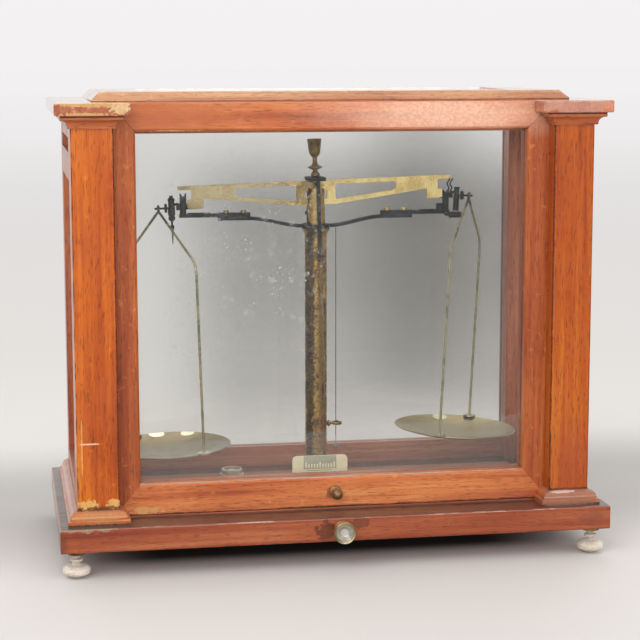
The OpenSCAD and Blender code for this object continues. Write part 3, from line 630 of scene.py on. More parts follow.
@dataclass(frozen=True)
class Metal(Finish):
    """An old metal: its clean colour, its stained colour, how spotted it is, and its patches of wear and tone, some of
    which are painted highlights and painted shade.
    """

    clean: Colour = (0.8, 0.8, 0.8, 1)
    stain: Colour = (0.2, 0.2, 0.2, 1)
    spot: Colour = (0.05, 0.04, 0.03, 1)
    stained: float = 0.5
    spotted: float = 0.3
    rough: float = 0.3
    seed: float = 0.0
    fine: float = 900.0
    bump: float = 0.05
    lustre: float = 1.0
    brush: Point | None = None
    patches: tuple[Patch, ...] = ()
    relief: Callable[[Graph], Wire] | None = None

    def build(self, graph: Graph) -> None:
        """Stains, spots, brush marks, fine scratches, and patches that paint wear, tone, painted highlights and painted
        shade.
        """
        cloud = graph.even_noise(70, 5, self.seed)
        grain = graph.even_noise(self.fine, 3, self.seed + 2)
        mask = (cloud * 0.6 + grain * 0.4 + (self.stained - 0.5) * 0.5).rise(0.4, 0.62)
        colour = graph.blend(mask, self.clean, self.stain)
        dots = graph.even_noise(self.fine * 0.8, 2, self.seed + 4).rise(0.72 - self.spotted * 0.2, 0.78)
        colour = graph.blend(dots * 0.8, colour, self.spot)
        rough = mask * 0.22 + grain * 0.12 + self.rough
        if self.brush is not None:
            streak = graph.noise(self.brush, 2, 0.6, self.seed + 6)
            colour = graph.blend(streak.rise(0.35, 0.65) * 0.3, colour, self.stain)
            rough = rough + streak * 0.2 - 0.1
        # Patches paint wear and tone, and on some finishes painted highlights and painted shade.
        for number, marking in enumerate(self.patches):
            place = marking.mask(graph, self.seed + number)
            mottle = graph.even_noise(self.fine, 2, self.seed + 8 + number).rise(0.4, 0.7)
            colour = graph.blend(place, colour, graph.blend(mottle * 0.4, marking.colour, self.stain))
        height = grain * 0.5 - dots * 0.5
        if self.relief is not None:
            height = height * 0.15 + self.relief(graph)
        metallic = (1 - mask * 0.18 - dots * 0.5) * self.lustre
        depth = self.bump if self.relief is None else 0.35
        shader = graph.principled({"Base Color": colour, "Roughness": rough, "Metallic": metallic}, height, depth)
        graph.surface(shader)


@dataclass(frozen=True)
class Reeds:
    """Upright reeding round a foot's disc: its centre in mm and the number of reeds."""

    centre: tuple[float, float]
    count: int

    def __call__(self, graph: Graph) -> Wire:
        """The reeds' height, from 0 to 1."""
        x, y, _ = graph.axes()
        angle = x - self.centre[0] * MM
        turned = graph.add(
            "ShaderNodeMath", {"operation": "ARCTAN2"}, {0: y - self.centre[1] * MM, 1: angle}
        )
        return (turned * self.count).sine() * 0.5 + 0.5


@dataclass(frozen=True)
class Pane(Finish):
    """An old pane: an even film, specks and dried drops over clear glass, and soft patches of painted shade where
    given.
    """

    film: float = 0.04
    painted_shade_clouds: tuple[Cloud, ...] = ()
    crowd: Cloud | None = None
    dust: Colour = screen(190, 192, 188)
    shine: float = 0.9
    seed: float = 0.0
    veil: float = 0.0
    veil_top: float = 107.8
    veil_slope: float = 0.0476

    def build(self, graph: Graph) -> None:
        """A clear sheet, its dust, its painted shade, and the reflection over both."""
        x, _, z = graph.axes()
        cover = graph.even_noise(7, 2, self.seed).rise(0.2, 0.8) * (self.film * 0.4) + self.film
        # Painted shade: each cloud darkens the pane with the film's colour.
        for cloud in self.painted_shade_clouds:
            cover = cover + cloud.mask(graph)
        if self.crowd is not None:
            crowd = self.crowd.mask(graph)
            specks = graph.even_noise(460, 2, self.seed + 3).rise(0.65, 0.7)
            groups = graph.even_noise(38, 3, self.seed + 5).rise(0.45, 0.7)
            cell = graph.add(
                "ShaderNodeTexVoronoi", {}, {"Vector": graph.place(), "Scale": 105.0}, out="Distance"
            )
            drops = cell.rise(0.34, 0.22) * graph.even_noise(60, 2, self.seed + 7).rise(0.5, 0.62)
            smudges = graph.even_noise(170, 4, self.seed + 8).rise(0.56, 0.7)
            cover = cover + crowd * (specks * groups * 0.9 + drops * 0.22 + smudges * 0.1)
        if self.veil:
            low = z - self.veil_top * MM - x * self.veil_slope
            cover = cover + low.rise(0.0008, -0.0008) * self.veil
        cover = cover.least(0.95)
        clear = graph.add("ShaderNodeBsdfTransparent", {}, {"Color": (0.982, 0.984, 0.978, 1)})
        dust = graph.add("ShaderNodeBsdfDiffuse", {}, {"Color": self.dust})
        body = graph.add("ShaderNodeMixShader", {}, {0: cover, 1: clear, 2: dust})
        gloss = graph.add("ShaderNodeBsdfAnisotropic", {}, {"Color": (1, 1, 1, 1), "Roughness": 0.03})
        facing = graph.add("ShaderNodeLayerWeight", {}, {"Blend": 0.5}, out="Facing")
        bend = facing**5 * 0.9 + 0.03
        graph.surface(graph.add("ShaderNodeMixShader", {}, {0: bend * self.shine, 1: body, 2: gloss}))


@dataclass(frozen=True)
class Smooth(Finish):
    """A hard dull or glossy stuff: ivory, agate, iron or cord."""

    base: Colour = (0.8, 0.8, 0.8, 1)
    vein: Colour = (0.6, 0.6, 0.6, 1)
    cycles: tuple[float, float, float] = (60.0, 60.0, 60.0)
    mottle: float = 0.4
    rough: float = 0.4
    bump: float = 0.03
    seed: float = 0.0

    def build(self, graph: Graph) -> None:
        """A veined or mottled colour with a fine relief."""
        vein = graph.noise(self.cycles, 4, 0.6, self.seed)
        fine = graph.even_noise(900, 3, self.seed + 2)
        colour = graph.blend(vein.rise(0.35, 0.7) * self.mottle, self.base, self.vein)
        colour = graph.blend(fine.rise(0.62, 0.75) * 0.3, colour, self.vein)
        rough = vein * 0.15 + self.rough
        graph.surface(graph.principled({"Base Color": colour, "Roughness": rough}, fine, self.bump))


BRIGHT_BRASS = Metal(
    "beam_brass", screen(255, 232, 162), screen(222, 192, 126), screen(128, 102, 60),
    stained=0.45, spotted=0.3, rough=0.3, fine=700, brush=(900, 900, 90),
    patches=(
        Patch((-82, 16, 298), (74, 12, 26), screen(120, 110, 82), 0.7, 120, 0.72),
        Patch((-70, 16, 301), (50, 12, 12), screen(236, 224, 190), 1.7, 700, 0.4),
        Patch((-6, 16, 300), (14, 8, 12), screen(122, 98, 54), 0.7, 160, 0.7),
    ),
)
PAN_BRASS_LEFT = Metal(
    "pan_brass_left", screen(134, 119, 88), screen(116, 101, 74), screen(84, 72, 52),
    stained=0.3, spotted=0.03, rough=0.24, seed=6, fine=900, bump=0.001,
    patches=(
        Patch((-123, -10, 80), (48, 28, 8), screen(190, 176, 152), 0.2, 60, 0.75, 0.6),
        # Painted highlights: two bright spots on the far rim.
        Patch((-137, 69, 82), (8, 7, 3), screen(255, 246, 216), 0.25, 120, 0.9),
        Patch((-109, 66, 82), (7, 6, 3), screen(255, 246, 216), 0.25, 120, 0.8),
    ),
)
PAN_BRASS_RIGHT = Metal(
    "pan_brass_right", screen(188, 170, 124), screen(170, 152, 108), screen(108, 96, 68),
    stained=0.3, spotted=0.03, rough=0.24, seed=7, fine=900, bump=0.001,
    patches=(
        Patch((142, -8, 88), (44, 30, 8), screen(118, 106, 96), 0.2, 60, 0.75, 0.6),
        # Painted highlights: two bright spots on the far rim.
        Patch((124.5, 67, 89), (8, 7, 3), screen(255, 246, 216), 0.25, 120, 0.9),
        Patch((148, 54, 89), (7, 6, 3), screen(255, 246, 216), 0.25, 120, 0.8),
    ),
)
WIRE_BRASS = Metal(
    "wire_brass", screen(212, 206, 168), screen(140, 138, 110), screen(66, 62, 50),
    stained=0.5, spotted=0.3, rough=0.26, seed=9, fine=500,
    patches=(
        Patch((-142, 18, 292), (30, 20, 30), screen(112, 116, 118), 0.4, 120, 0.9),
        Patch((137, 18, 298), (14, 20, 14), screen(104, 106, 104), 0.4, 120, 0.9),
        Patch((0, 18.75, 85), (260, 90, 9), screen(220, 214, 198), 0.3, 120, 0.9),
    ),
)
AGED_BRASS = Metal(
    "aged_brass", screen(228, 184, 104), screen(92, 70, 38), screen(20, 17, 14),
    stained=0.55, spotted=1.0, rough=0.26, seed=3, fine=520,
    patches=(
        # Painted shade: a dark stripe down the left side of the column.
        Patch((-7, 12, 190), (4.5, 9, 150), screen(44, 38, 28), 0.8, 260, 0.75),
        # Painted highlight: a gold stripe down the front of the column.
        Patch((2.5, 9, 200), (2.2, 7, 140), screen(190, 152, 84), 1.0, 300, 0.6),
        Patch((0, 12, 288), (9, 14, 20), screen(226, 192, 122), 0.6, 200, 0.9),
    ),
)
KNOB_BRASS = Metal(
    "knob_brass", screen(214, 196, 156), screen(150, 130, 92), screen(70, 54, 36),
    stained=0.45, spotted=0.3, rough=0.26, seed=12,
    patches=(Patch((0, -120, 33), (7.4, 7, 7.4), screen(206, 208, 206), 0.3, 200, 0.9),),
)
SASH_KNOB_BRASS = Metal(
    "sash_knob_brass", screen(190, 152, 108), screen(120, 84, 56), screen(60, 40, 28),
    stained=0.5, spotted=0.4, rough=0.3, seed=13,
)
FINIAL_BRASS = Metal(
    "finial_brass", screen(168, 142, 84), screen(96, 78, 42), screen(44, 38, 24),
    stained=0.5, spotted=0.4, rough=0.26, seed=15,
)
DARK_STEEL = Metal(
    "blued_steel", screen(62, 66, 74), screen(28, 29, 33), screen(150, 150, 144),
    stained=0.55, spotted=0.1, rough=0.36, seed=5, fine=800,
)
POINTER_STEEL = Metal(
    "pointer_steel", screen(58, 62, 70), screen(28, 29, 33), screen(120, 120, 112),
    stained=0.55, spotted=0.1, rough=0.36, seed=19, fine=800,
    patches=(Patch((4, 8, 160), (12, 12, 101), screen(150, 118, 62), 0.15, 120, 0.9),),
)
PLUMB_METAL = Metal(
    "plumb_metal", screen(150, 150, 150), screen(96, 94, 92), screen(60, 58, 56),
    stained=0.5, spotted=0.3, rough=0.3, seed=23, lustre=0.6,
    patches=(Patch((17.8, 18.75, 175), (9, 9, 96), screen(84, 52, 46), 0.02, 60, 1.0),),
)
NICKEL = Metal(
    "tarnished_nickel", screen(232, 224, 210), screen(196, 184, 164), screen(130, 114, 92),
    stained=0.45, spotted=0.3, rough=0.34, seed=8, lustre=0.6,
)
IVORY = Smooth("ivory", screen(246, 240, 204), screen(226, 214, 168), (40, 40, 260), 0.5, 0.32, 0.01)
IVORY_WINDOW = Smooth("ivory_window", screen(176, 178, 152), screen(160, 160, 134), (40, 40, 260), 0.5, 0.4, 0.01, 4)
INK = Smooth("ink", screen(96, 84, 66), screen(130, 116, 92), (300, 300, 300), 0.5, 0.5, 0.01, 2)
AGATE = Smooth("agate", screen(186, 150, 128), screen(140, 92, 76), (300, 120, 500), 0.7, 0.15, 0.005)
IRON = Smooth("iron", screen(96, 95, 96), screen(60, 52, 48), (200, 200, 200), 0.6, 0.6, 0.15)
PUTTY = Smooth("putty", screen(244, 240, 236), screen(224, 218, 208), (90, 90, 90), 0.5, 0.7, 0.02, 5)
COPPER = Smooth("copper_end", screen(168, 96, 72), screen(110, 60, 46), (400, 400, 400), 0.5, 0.4, 0.02, 7)
CORD = Smooth("cotton_cord", screen(196, 184, 156), screen(150, 136, 108), (900, 900, 2200), 0.8, 0.8, 0.1)


class Modeller:
    """Makes closed meshes with bmesh operators, in the part's frame."""

    @staticmethod
    def lathe(profile: Sequence[tuple[float, float]], place: Matrix, steps: int = 48) -> bmesh.types.BMesh:
        """Turns a profile round Z.

        Args:
            profile: Radius and height in mm, from one pole to the other.
            place: Where the turned shape goes.
            steps: The number of sides.

        Returns:
            The closed shape.
        """
        shape = bmesh.new()
        points = [shape.verts.new((radius * MM, 0, height * MM)) for radius, height in profile]
        lines = [shape.edges.new(pair) for pair in zip(points, points[1:])]
        bmesh.ops.spin(
            shape, geom=[*points, *lines], cent=(0, 0, 0), axis=(0, 0, 1), angle=math.tau,
            steps=steps, use_merge=True,
        )
        bmesh.ops.remove_doubles(shape, verts=shape.verts, dist=1e-7)
        bmesh.ops.recalc_face_normals(shape, faces=shape.faces)
        bmesh.ops.transform(shape, matrix=place, verts=shape.verts)
        return shape

    @staticmethod
    def slab(low: Sequence[float], high: Sequence[float], round_by: float = 0.0) -> bmesh.types.BMesh:
        """A block between two corners in mm, with rounded edges."""
        shape = bmesh.new()
        size = [(b - a) * MM for a, b in zip(low, high)]
        middle = [(a + b) / 2 * MM for a, b in zip(low, high)]
        place = Matrix.Translation(middle) @ Matrix.Diagonal((*size, 1))
        bmesh.ops.create_cube(shape, size=1, matrix=place)
        if round_by:
            bmesh.ops.bevel(
                shape, geom=shape.edges, offset=round_by * MM, segments=2, affect="EDGES",
                profile=0.5, material=-1,
            )
        return shape

    @staticmethod
    def tube(points: Sequence[Sequence[float]], radius: float) -> bmesh.types.BMesh:
        """A round wire through points in mm.

        Args:
            points: The wire's middle line.
            radius: The wire's radius in mm.

        Returns:
            The closed shape.
        """
        data = bpy.data.curves.new("wire", "CURVE")
        data.dimensions = "3D"
        data.bevel_depth = radius * MM
        data.bevel_resolution = 3
        data.use_fill_caps = True
        data.resolution_u = 6
        line = data.splines.new("BEZIER")
        line.bezier_points.add(len(points) - 1)
        for knot, point in zip(line.bezier_points, points):
            knot.co = metres(point)
            knot.handle_left_type = knot.handle_right_type = "AUTO"
        carrier = bpy.data.objects.new("wire", data)
        bpy.context.scene.collection.objects.link(carrier)
        mesh = bpy.data.meshes.new_from_object(carrier.evaluated_get(bpy.context.evaluated_depsgraph_get()))
        shape = bmesh.new()
        shape.from_mesh(mesh)
        bmesh.ops.remove_doubles(shape, verts=shape.verts, dist=1e-6)
        bmesh.ops.recalc_face_normals(shape, faces=shape.faces)
        bpy.data.objects.remove(carrier)
        bpy.data.curves.remove(data)
        bpy.data.meshes.remove(mesh)
        return shape

    @staticmethod
    def screw(place: Matrix, radius: float) -> bmesh.types.BMesh:
        """A domed screw head with a slot, looking along the place's Z."""
        profile = [
            (0, -1.2), (radius * 0.7, -1.0), (radius, 0), (radius * 0.98, 0.3), (radius * 0.8, 0.75),
            (radius * 0.45, 1.05), (0, 1.15),
        ]
        whole = bmesh.new()
        for turn in (0, math.pi):
            half = Modeller.lathe(profile, Matrix.Identity(4), 32)
            geometry = [*half.verts, *half.edges, *half.faces]
            bmesh.ops.bisect_plane(
                half, geom=geometry, plane_co=(radius * 0.14 * MM, 0, 0), plane_no=(1, 0, 0), clear_inner=True
            )
            bmesh.ops.holes_fill(half, edges=half.edges, sides=0)
            bmesh.ops.rotate(half, cent=(0, 0, 0), matrix=Matrix.Rotation(turn, 3, "Z"), verts=half.verts)
            Modeller.join(whole, half)
        floor = Modeller.lathe([(0, -1.1), (radius * 0.66, -1.0), (radius * 0.9, 0.2), (0, 0.25)], Matrix.Identity(4), 32)
        Modeller.join(whole, floor)
        bmesh.ops.transform(whole, matrix=place, verts=whole.verts)
        return whole

    @staticmethod
    def join(target: bmesh.types.BMesh, extra: bmesh.types.BMesh) -> None:
        """Moves one shape into another and frees it."""
        carrier = bpy.data.meshes.new("carrier")
        extra.to_mesh(carrier)
        extra.free()
        target.from_mesh(carrier)
        bpy.data.meshes.remove(carrier)

    @staticmethod
    def facing(point: Sequence[float], normal: Sequence[float]) -> Matrix:
        """A place at a point in mm, whose Z looks along a normal."""
        turn = Vector(normal).normalized().to_track_quat("Z", "Y").to_matrix().to_4x4()
        return Matrix.Translation(metres(point)) @ turn


class Workshop:
    """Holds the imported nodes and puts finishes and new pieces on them."""

    def __init__(self, frame: dict[str, object]) -> None:
        """Reads the nodes, their bodies and their slots."""
        self.nodes: dict[str, bpy.types.Object] = frame["nodes"]
        record = frame["record"]
        self.slots = {part["node"]: part["material_slot"] for part in record["subparts"]}
        self.bodies = {
            node: body for body, members in record["behaviour"]["bodies"].items() for node in members
        }

    def dress(self, finish: Finish, *names: str) -> None:
        """Gives CAD nodes a finish."""
        for name in names:
            data = self.nodes[name].data
            data.materials.clear()
            data.materials.append(finish.material())
            LOG.info("%s: %s", name, finish.name)

    def add(
        self, name: str, shape: bmesh.types.BMesh, finish: Finish, body: str, slot: str, smooth: float = 35
    ) -> bpy.types.Object:
        """Makes a piece of a shape and lets it ride on a body.

        Args:
            name: The piece's name.
            shape: The shape, which is freed.
            finish: Its finish.
            body: The body it moves with.
            slot: The record's material slot; not used.
            smooth: Edges sharper than this, in degrees, stay sharp.

        Returns:
            The piece.
        """
        data = bpy.data.meshes.new(name)
        shape.to_mesh(data)
        shape.free()
        data.shade_smooth()
        data.set_sharp_from_angle(angle=math.radians(smooth))
        data.materials.append(finish.material())
        piece = bpy.data.objects.new(name, data)
        bpy.context.scene.collection.objects.link(piece)
        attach(piece, body)
        LOG.info("%s: %d faces on %s", name, len(data.polygons), body)
        return piece

    def softened(self, node: str, finish: Finish, width: float) -> bpy.types.Object:
        """Shows a copy of a CAD node whose sharp edges are rounded by a width in mm."""
        shape = bmesh.new()
        shape.from_mesh(self.nodes[node].data)
        bmesh.ops.remove_doubles(shape, verts=shape.verts, dist=1e-6)
        bmesh.ops.dissolve_limit(
            shape, angle_limit=math.radians(0.6), verts=shape.verts, edges=shape.edges
        )
        piece = self.add(node + "_eased", shape, finish, self.bodies[node], self.slots[node])
        bevel = piece.modifiers.new("eased edges", "BEVEL")
        bevel.width = width * MM
        bevel.segments = 2
        bevel.limit_method = "ANGLE"
        bevel.angle_limit = math.radians(35)
        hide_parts(node)
        return piece


@dataclass
class CaseWork:
    """The mahogany case: sizes in mm that the finishes need."""

    shop: Workshop
    back: float = 6.75
    floor: float = 43.0
    cap: float = 372.5
    cap_top: float = 382.5
    post_in: float = 181.0
    post_out: float = 215.0
    front: float = -91.65
    plinth_front: float = -108.25
    plinth_half: float = 230.0

    def posts(self) -> None:
        """Both front pilasters and the rear posts."""
        left = -(self.post_in + self.post_out) / 2
        foot = (
            Patch((left - 8, self.front, self.floor + 15.5), (9, 6, 4.2), RAW_WOOD, 1.2, 420),
            Patch((left + 12, self.front, self.floor + 16), (6, 6, 4.4), RAW_WOOD, 1.2, 420),
            Patch((-210.7, self.front, 105), (0.8, 3, 26), screen(226, 178, 110), 0.8, 160, 0.5),
            Patch((-204, self.front, 109), (9, 4, 0.7), screen(238, 206, 168), 0.6, 300, 0.8),
            # Painted shade: a dark line where the left pilaster meets the base moulding.
            Patch((left + 2, self.front, self.floor + 12.8), (17, 4, 1.8), screen(74, 48, 32), 1.2, 340, 0.8),
        )
        # Painted shade: dark lines down both front edges of each pilaster and along its foot.
        shade = screen(62, 26, 14)
        corners = [
            (
                Edge(Axis.Z, (side * self.post_in, self.front), 1.3, shade, 1.1),
                Edge(Axis.Z, (side * self.post_out, self.front), 1.0, shade, 0.7),
                Edge(Axis.X, (self.front, self.floor + 11.8), 1.2, shade, 1.3),
            )
            for side in (-1, 1)
        ]
        self.shop.dress(
            Wood(
                "pilaster_left_wood", seed=2.0, patches=foot, edges=corners[0], polish=0.3,
                tint=(1.0, 0.83, 0.12), figure=80,
            ),
            "front_pilaster_left",
        )
        self.shop.dress(
            Wood(
                "pilaster_right_wood", seed=9.0, edges=corners[1], polish=0.26, tint=(0.83, 0.64, 0.2), figure=80,
                patches=(Patch((-left, self.front, 80), (19, 4, 62), screen(150, 62, 34), 0.4, 60, 0.5, 0.8),),
            ),
            "front_pilaster_right",
        )
        self.shop.dress(Wood("rear_post_wood", seed=15.0, tones=RAIL_TONES), "rear_posts")

    def mouldings(self) -> None:
        """Base mouldings and capitals."""
        turn = Return(self.post_in, self.post_out, self.front)
        left = -(self.post_in + self.post_out) / 2
        marking = (
            Patch((left, self.front - 4, self.floor + 6.5), (24, 7, 5), screen(182, 126, 68), 0.8, 260, 0.85),
            # Darker tone of the right moulding, greyed to paint its pale reflection.
            Patch((-left, self.front - 3, self.floor + 5), (34, 12, 9), screen(134, 92, 80), 0.5, 200, 0.8),
            # Painted highlight: a white line along the right moulding's top edge.
            Patch((-left - 6, self.front - 3.5, self.floor + 10.6), (14, 3, 1.2), screen(228, 214, 208), 0.7, 300, 0.8),
        )
        # Painted shade: dark lines in the creases at the foot and the top of the moulding.
        dark = screen(50, 26, 18)
        lines = (
            Edge(Axis.X, (self.front - 8.2, self.floor + 0.2), 1.5, dark, 1.4),
            Edge(Axis.X, (self.front - 8.2, self.floor + 4.4), 0.8, screen(226, 176, 112), 0.9),
            Edge(Axis.X, (self.front - 0.8, self.floor + 11.5), 1.1, dark, 1.2),
        )
        self.shop.dress(
            Wood("base_moulding_wood", grain=Axis.X, second=Axis.Y, joint=turn, seed=21, patches=marking, edges=lines, dust=0.3, coat=1.0),
            "base_mouldings",
        )
        # Painted shade: a dark line along the lower edge of the capitals.
        self.shop.dress(
            Wood("capital_wood", grain=Axis.X, second=Axis.Y, joint=turn, seed=27, tones=RAIL_TONES, tint=(1, 0.85, 0.55),
                 edges=(Edge(Axis.X, (self.front - 8, self.cap - 0.3), 1.2, screen(50, 26, 18), 1.3),)), "capitals"
        )

    def slabs(self) -> None:
        """The cap slabs, the left one chipped along its front."""
        left = -(168 + 227.7) / 2
        front = self.front - 10.9
        ochre = screen(206, 164, 104)
        marking = (
            Patch((left, front, self.cap + 9), (31, 3, 2.2), ochre, 1.3, 420),
            Patch((left - 6, front, self.cap + 1), (24, 2.4, 1.6), ochre, 1.4, 420),
            Patch((left + 22, front, self.cap + 6), (8, 4, 5), screen(214, 182, 132), 1.2, 420),
            Patch((-left + 26, front, self.cap + 5), (7, 4, 7), screen(206, 120, 76), 0.9, 200, 0.8),
            Patch((-left, front, self.cap + 6), (34, 3, 7), screen(200, 160, 144), 0.6, 160, 0.5),
        )
        edges = (
            Edge(Axis.X, (front, self.cap_top), 1.6, screen(214, 190, 160), 0.7),
            Edge(Axis.Y, (-227.7, self.cap_top), 1.6, screen(206, 180, 150), 0.6),
        )
        self.shop.dress(
            Wood("cap_slab_wood", grain=Axis.Y, seed=33, tones=RAIL_TONES, patches=marking, edges=edges, dust=0.05, coat=1.0,
                coat_rough=0.02, polish=0.22),
            "cap_slabs",
        )

    def plinth(self) -> None:
        """The plinth and the floor board."""
        lap = Lap(184.0, 58.0, self.back)
        edge = Edge(Axis.X, (self.plinth_front, self.floor), 1.0, screen(214, 176, 150), 0.55)
        low = Edge(Axis.X, (self.plinth_front, 23.0), 1.2, screen(70, 34, 22), 0.7)
        dark = screen(58, 30, 22)
        patches = (
            Patch((-205, self.plinth_front + 6, self.floor), (32, 9, 4), screen(150, 132, 106), 0.8, 160, 0.85),
            Patch((214, self.plinth_front, 33), (18, 4, 12), screen(112, 56, 42), 0.8, 180, 0.5, 0.9),
            Patch((-14, self.plinth_front, 33), (9, 3, 8), dark, 1.3, 200, 0.7),
            Patch((16, self.plinth_front, 38), (10, 3, 4), dark, 1.3, 200, 0.5),
            Patch((-228, self.plinth_front, 30), (6, 5, 13), dark, 0.8, 160, 0.5, 0.8),
        )
        self.shop.dress(
            Wood(
                "plinth_wood", grain=Axis.X, second=Axis.Y, joint=lap, seed=41, tones=RAIL_TONES,
                edges=(edge, low), patches=patches, dust=0.12, figure=60, tint=(0.72, 0.5, 0.34), coat=0.8,
                # Painted shade: the plinth's top is made darker.
                painted_top_shade=0.85,
            ),
            "plinth",
        )
        self.shop.dress(Wood("floor_wood", grain=Axis.X, seed=47, tones=RAIL_TONES, dust=0.6, figure=34), "floor_board")

    def frames(self) -> None:
        """Side frames, rear frame, top rails and the bevelled top."""
        self.shop.dress(Wood("side_rail_wood", grain=Axis.Y, seed=53, tones=RAIL_TONES), "side_rails")
        self.shop.dress(Wood("back_rail_wood", grain=Axis.X, seed=57, tones=RAIL_TONES), "back_rails")
        self.shop.dress(Wood("top_rail_wood", grain=Axis.X, seed=61, tones=RAIL_TONES), "top_rails")
        top = Mitre(201, 43, -50.35, 106.75, 25, 25, Axis.Y, 5, 0, 0)
        # The strong tint paints in the pale sheen that the bevel takes from the light above.
        finish = Wood(
            "top_frame_wood", grain=Axis.X, second=Axis.Y, joint=top, seed=67, tones=RAIL_TONES, dust=0.05,
            tint=(1.42, 2.3, 2.3), coat=1.0, coat_rough=0.02, polish=0.2,
        )
        self.shop.softened("top_frame", finish, 0.5)

    def glass(self) -> None:
        """The fixed panes."""
        self.shop.dress(Pane("side_pane", film=0.08, seed=2), "side_glasses")
        # Painted shade: soft dark grey patches on the back pane darken the view through the case; the dark grey also
        # colours its thin dust film.
        painted_shade_clouds = (
            Cloud((-95, 88), (400, 318), (52, 40), 0.24),
            Cloud((-85, 175), (400, 312), (60, 55), 0.13),
            Cloud((65, 112), (152, 380), (45, 45), 0.2),
        )
        self.shop.dress(Pane("back_pane", film=0.04, painted_shade_clouds=painted_shade_clouds, dust=screen(120, 120, 116), seed=5), "back_glass")
        self.shop.dress(Pane("top_pane", film=0.12, seed=8), "top_glass")
        putty = bmesh.new()
        for low, high in (
            ((-152.9, 80.7, 387.2), (162.9, 81.7, 389.9)), ((-152.9, -25.3, 387.2), (162.9, -24.3, 388.6)),
            ((-152.9, -24.2, 387.2), (-151.9, 80.6, 388.6)), ((161.9, -24.2, 387.2), (162.9, 80.6, 388.6)),
        ):
            Modeller.join(putty, Modeller.slab(low, high, 0.3))
        self.shop.add("top_putty", putty, PUTTY, "case", "pane")

    def build(self) -> None:
        """The whole case."""
        self.posts()
        self.mouldings()
        self.slabs()
        self.plinth()
        self.frames()
        self.glass()


@dataclass
class SashWork:
    """The sliding sash with its knob, cords, pulleys and weights."""

    shop: Workshop
    half: float = 184.2
    low: float = 44.5
    high: float = 381.7
    stile: float = 21.6
    top: float = 22.6
    bottom: float = 25.6
    front: float = -75.35

    def build(self) -> None:
        """Wood, glass and running gear."""
        mitre = Mitre(self.half, self.stile, self.low, self.high, self.bottom, self.top)
        edges = (
            Edge(Axis.X, (self.front, self.low), 1.4, screen(90, 52, 30), 0.8),
            Edge(Axis.X, (self.front + 2, self.low + self.bottom), 1.1, screen(170, 164, 152), 0.9),
        )
        marking = (
            Patch((-158, self.front, self.low + 3.5), (13, 3, 3), screen(206, 160, 96), 1.2, 300, 0.8),
            # Painted highlight: a pale glare along the right of the top rail.
            Patch((95, self.front, self.high - 10), (150, 3, 30), screen(250, 216, 192), 0.2, 30, 0.6, 0.9),
            Patch((-140, self.front, self.high - 10), (110, 3, 30), screen(178, 104, 66), 0.2, 30, 0.55, 0.9),
            Patch((-133, self.front + 2, self.high - 23), (25, 4, 1.2), screen(222, 206, 120), 0.9, 300, 0.8),
            Patch((-3, self.front, self.low + 12), (5, 3, 5), screen(96, 62, 26), 0.7, 200, 0.6),
        )
        wood = Wood(
            "sash_wood", grain=Axis.X, second=Axis.Z, joint=mitre, seed=71, tones=RAIL_TONES,
            edges=edges, patches=marking, polish=0.36, tint=(1.35, 1.3, 0.85), second_tint=(0.98, 0.78, 0.42),
        )
        self.shop.dress(wood, "sash_frame")
        self.shop.dress(
            Pane(
                "sash_pane", film=0.02, crowd=Cloud((-120, 170), (10, 320), (50, 50), 1.0), seed=11, veil=0.05
            ),
            "sash_glass",
        )
        self.shop.dress(SASH_KNOB_BRASS, "sash_knob")
        self.shop.dress(AGED_BRASS, "pulley_left", "pulley_right")
        self.shop.dress(NICKEL, "pulley_pins")
        self.shop.dress(IRON, "counterweights")
        self.shop.dress(CORD, "sash_cords", "weight_cords", "cord_loops")


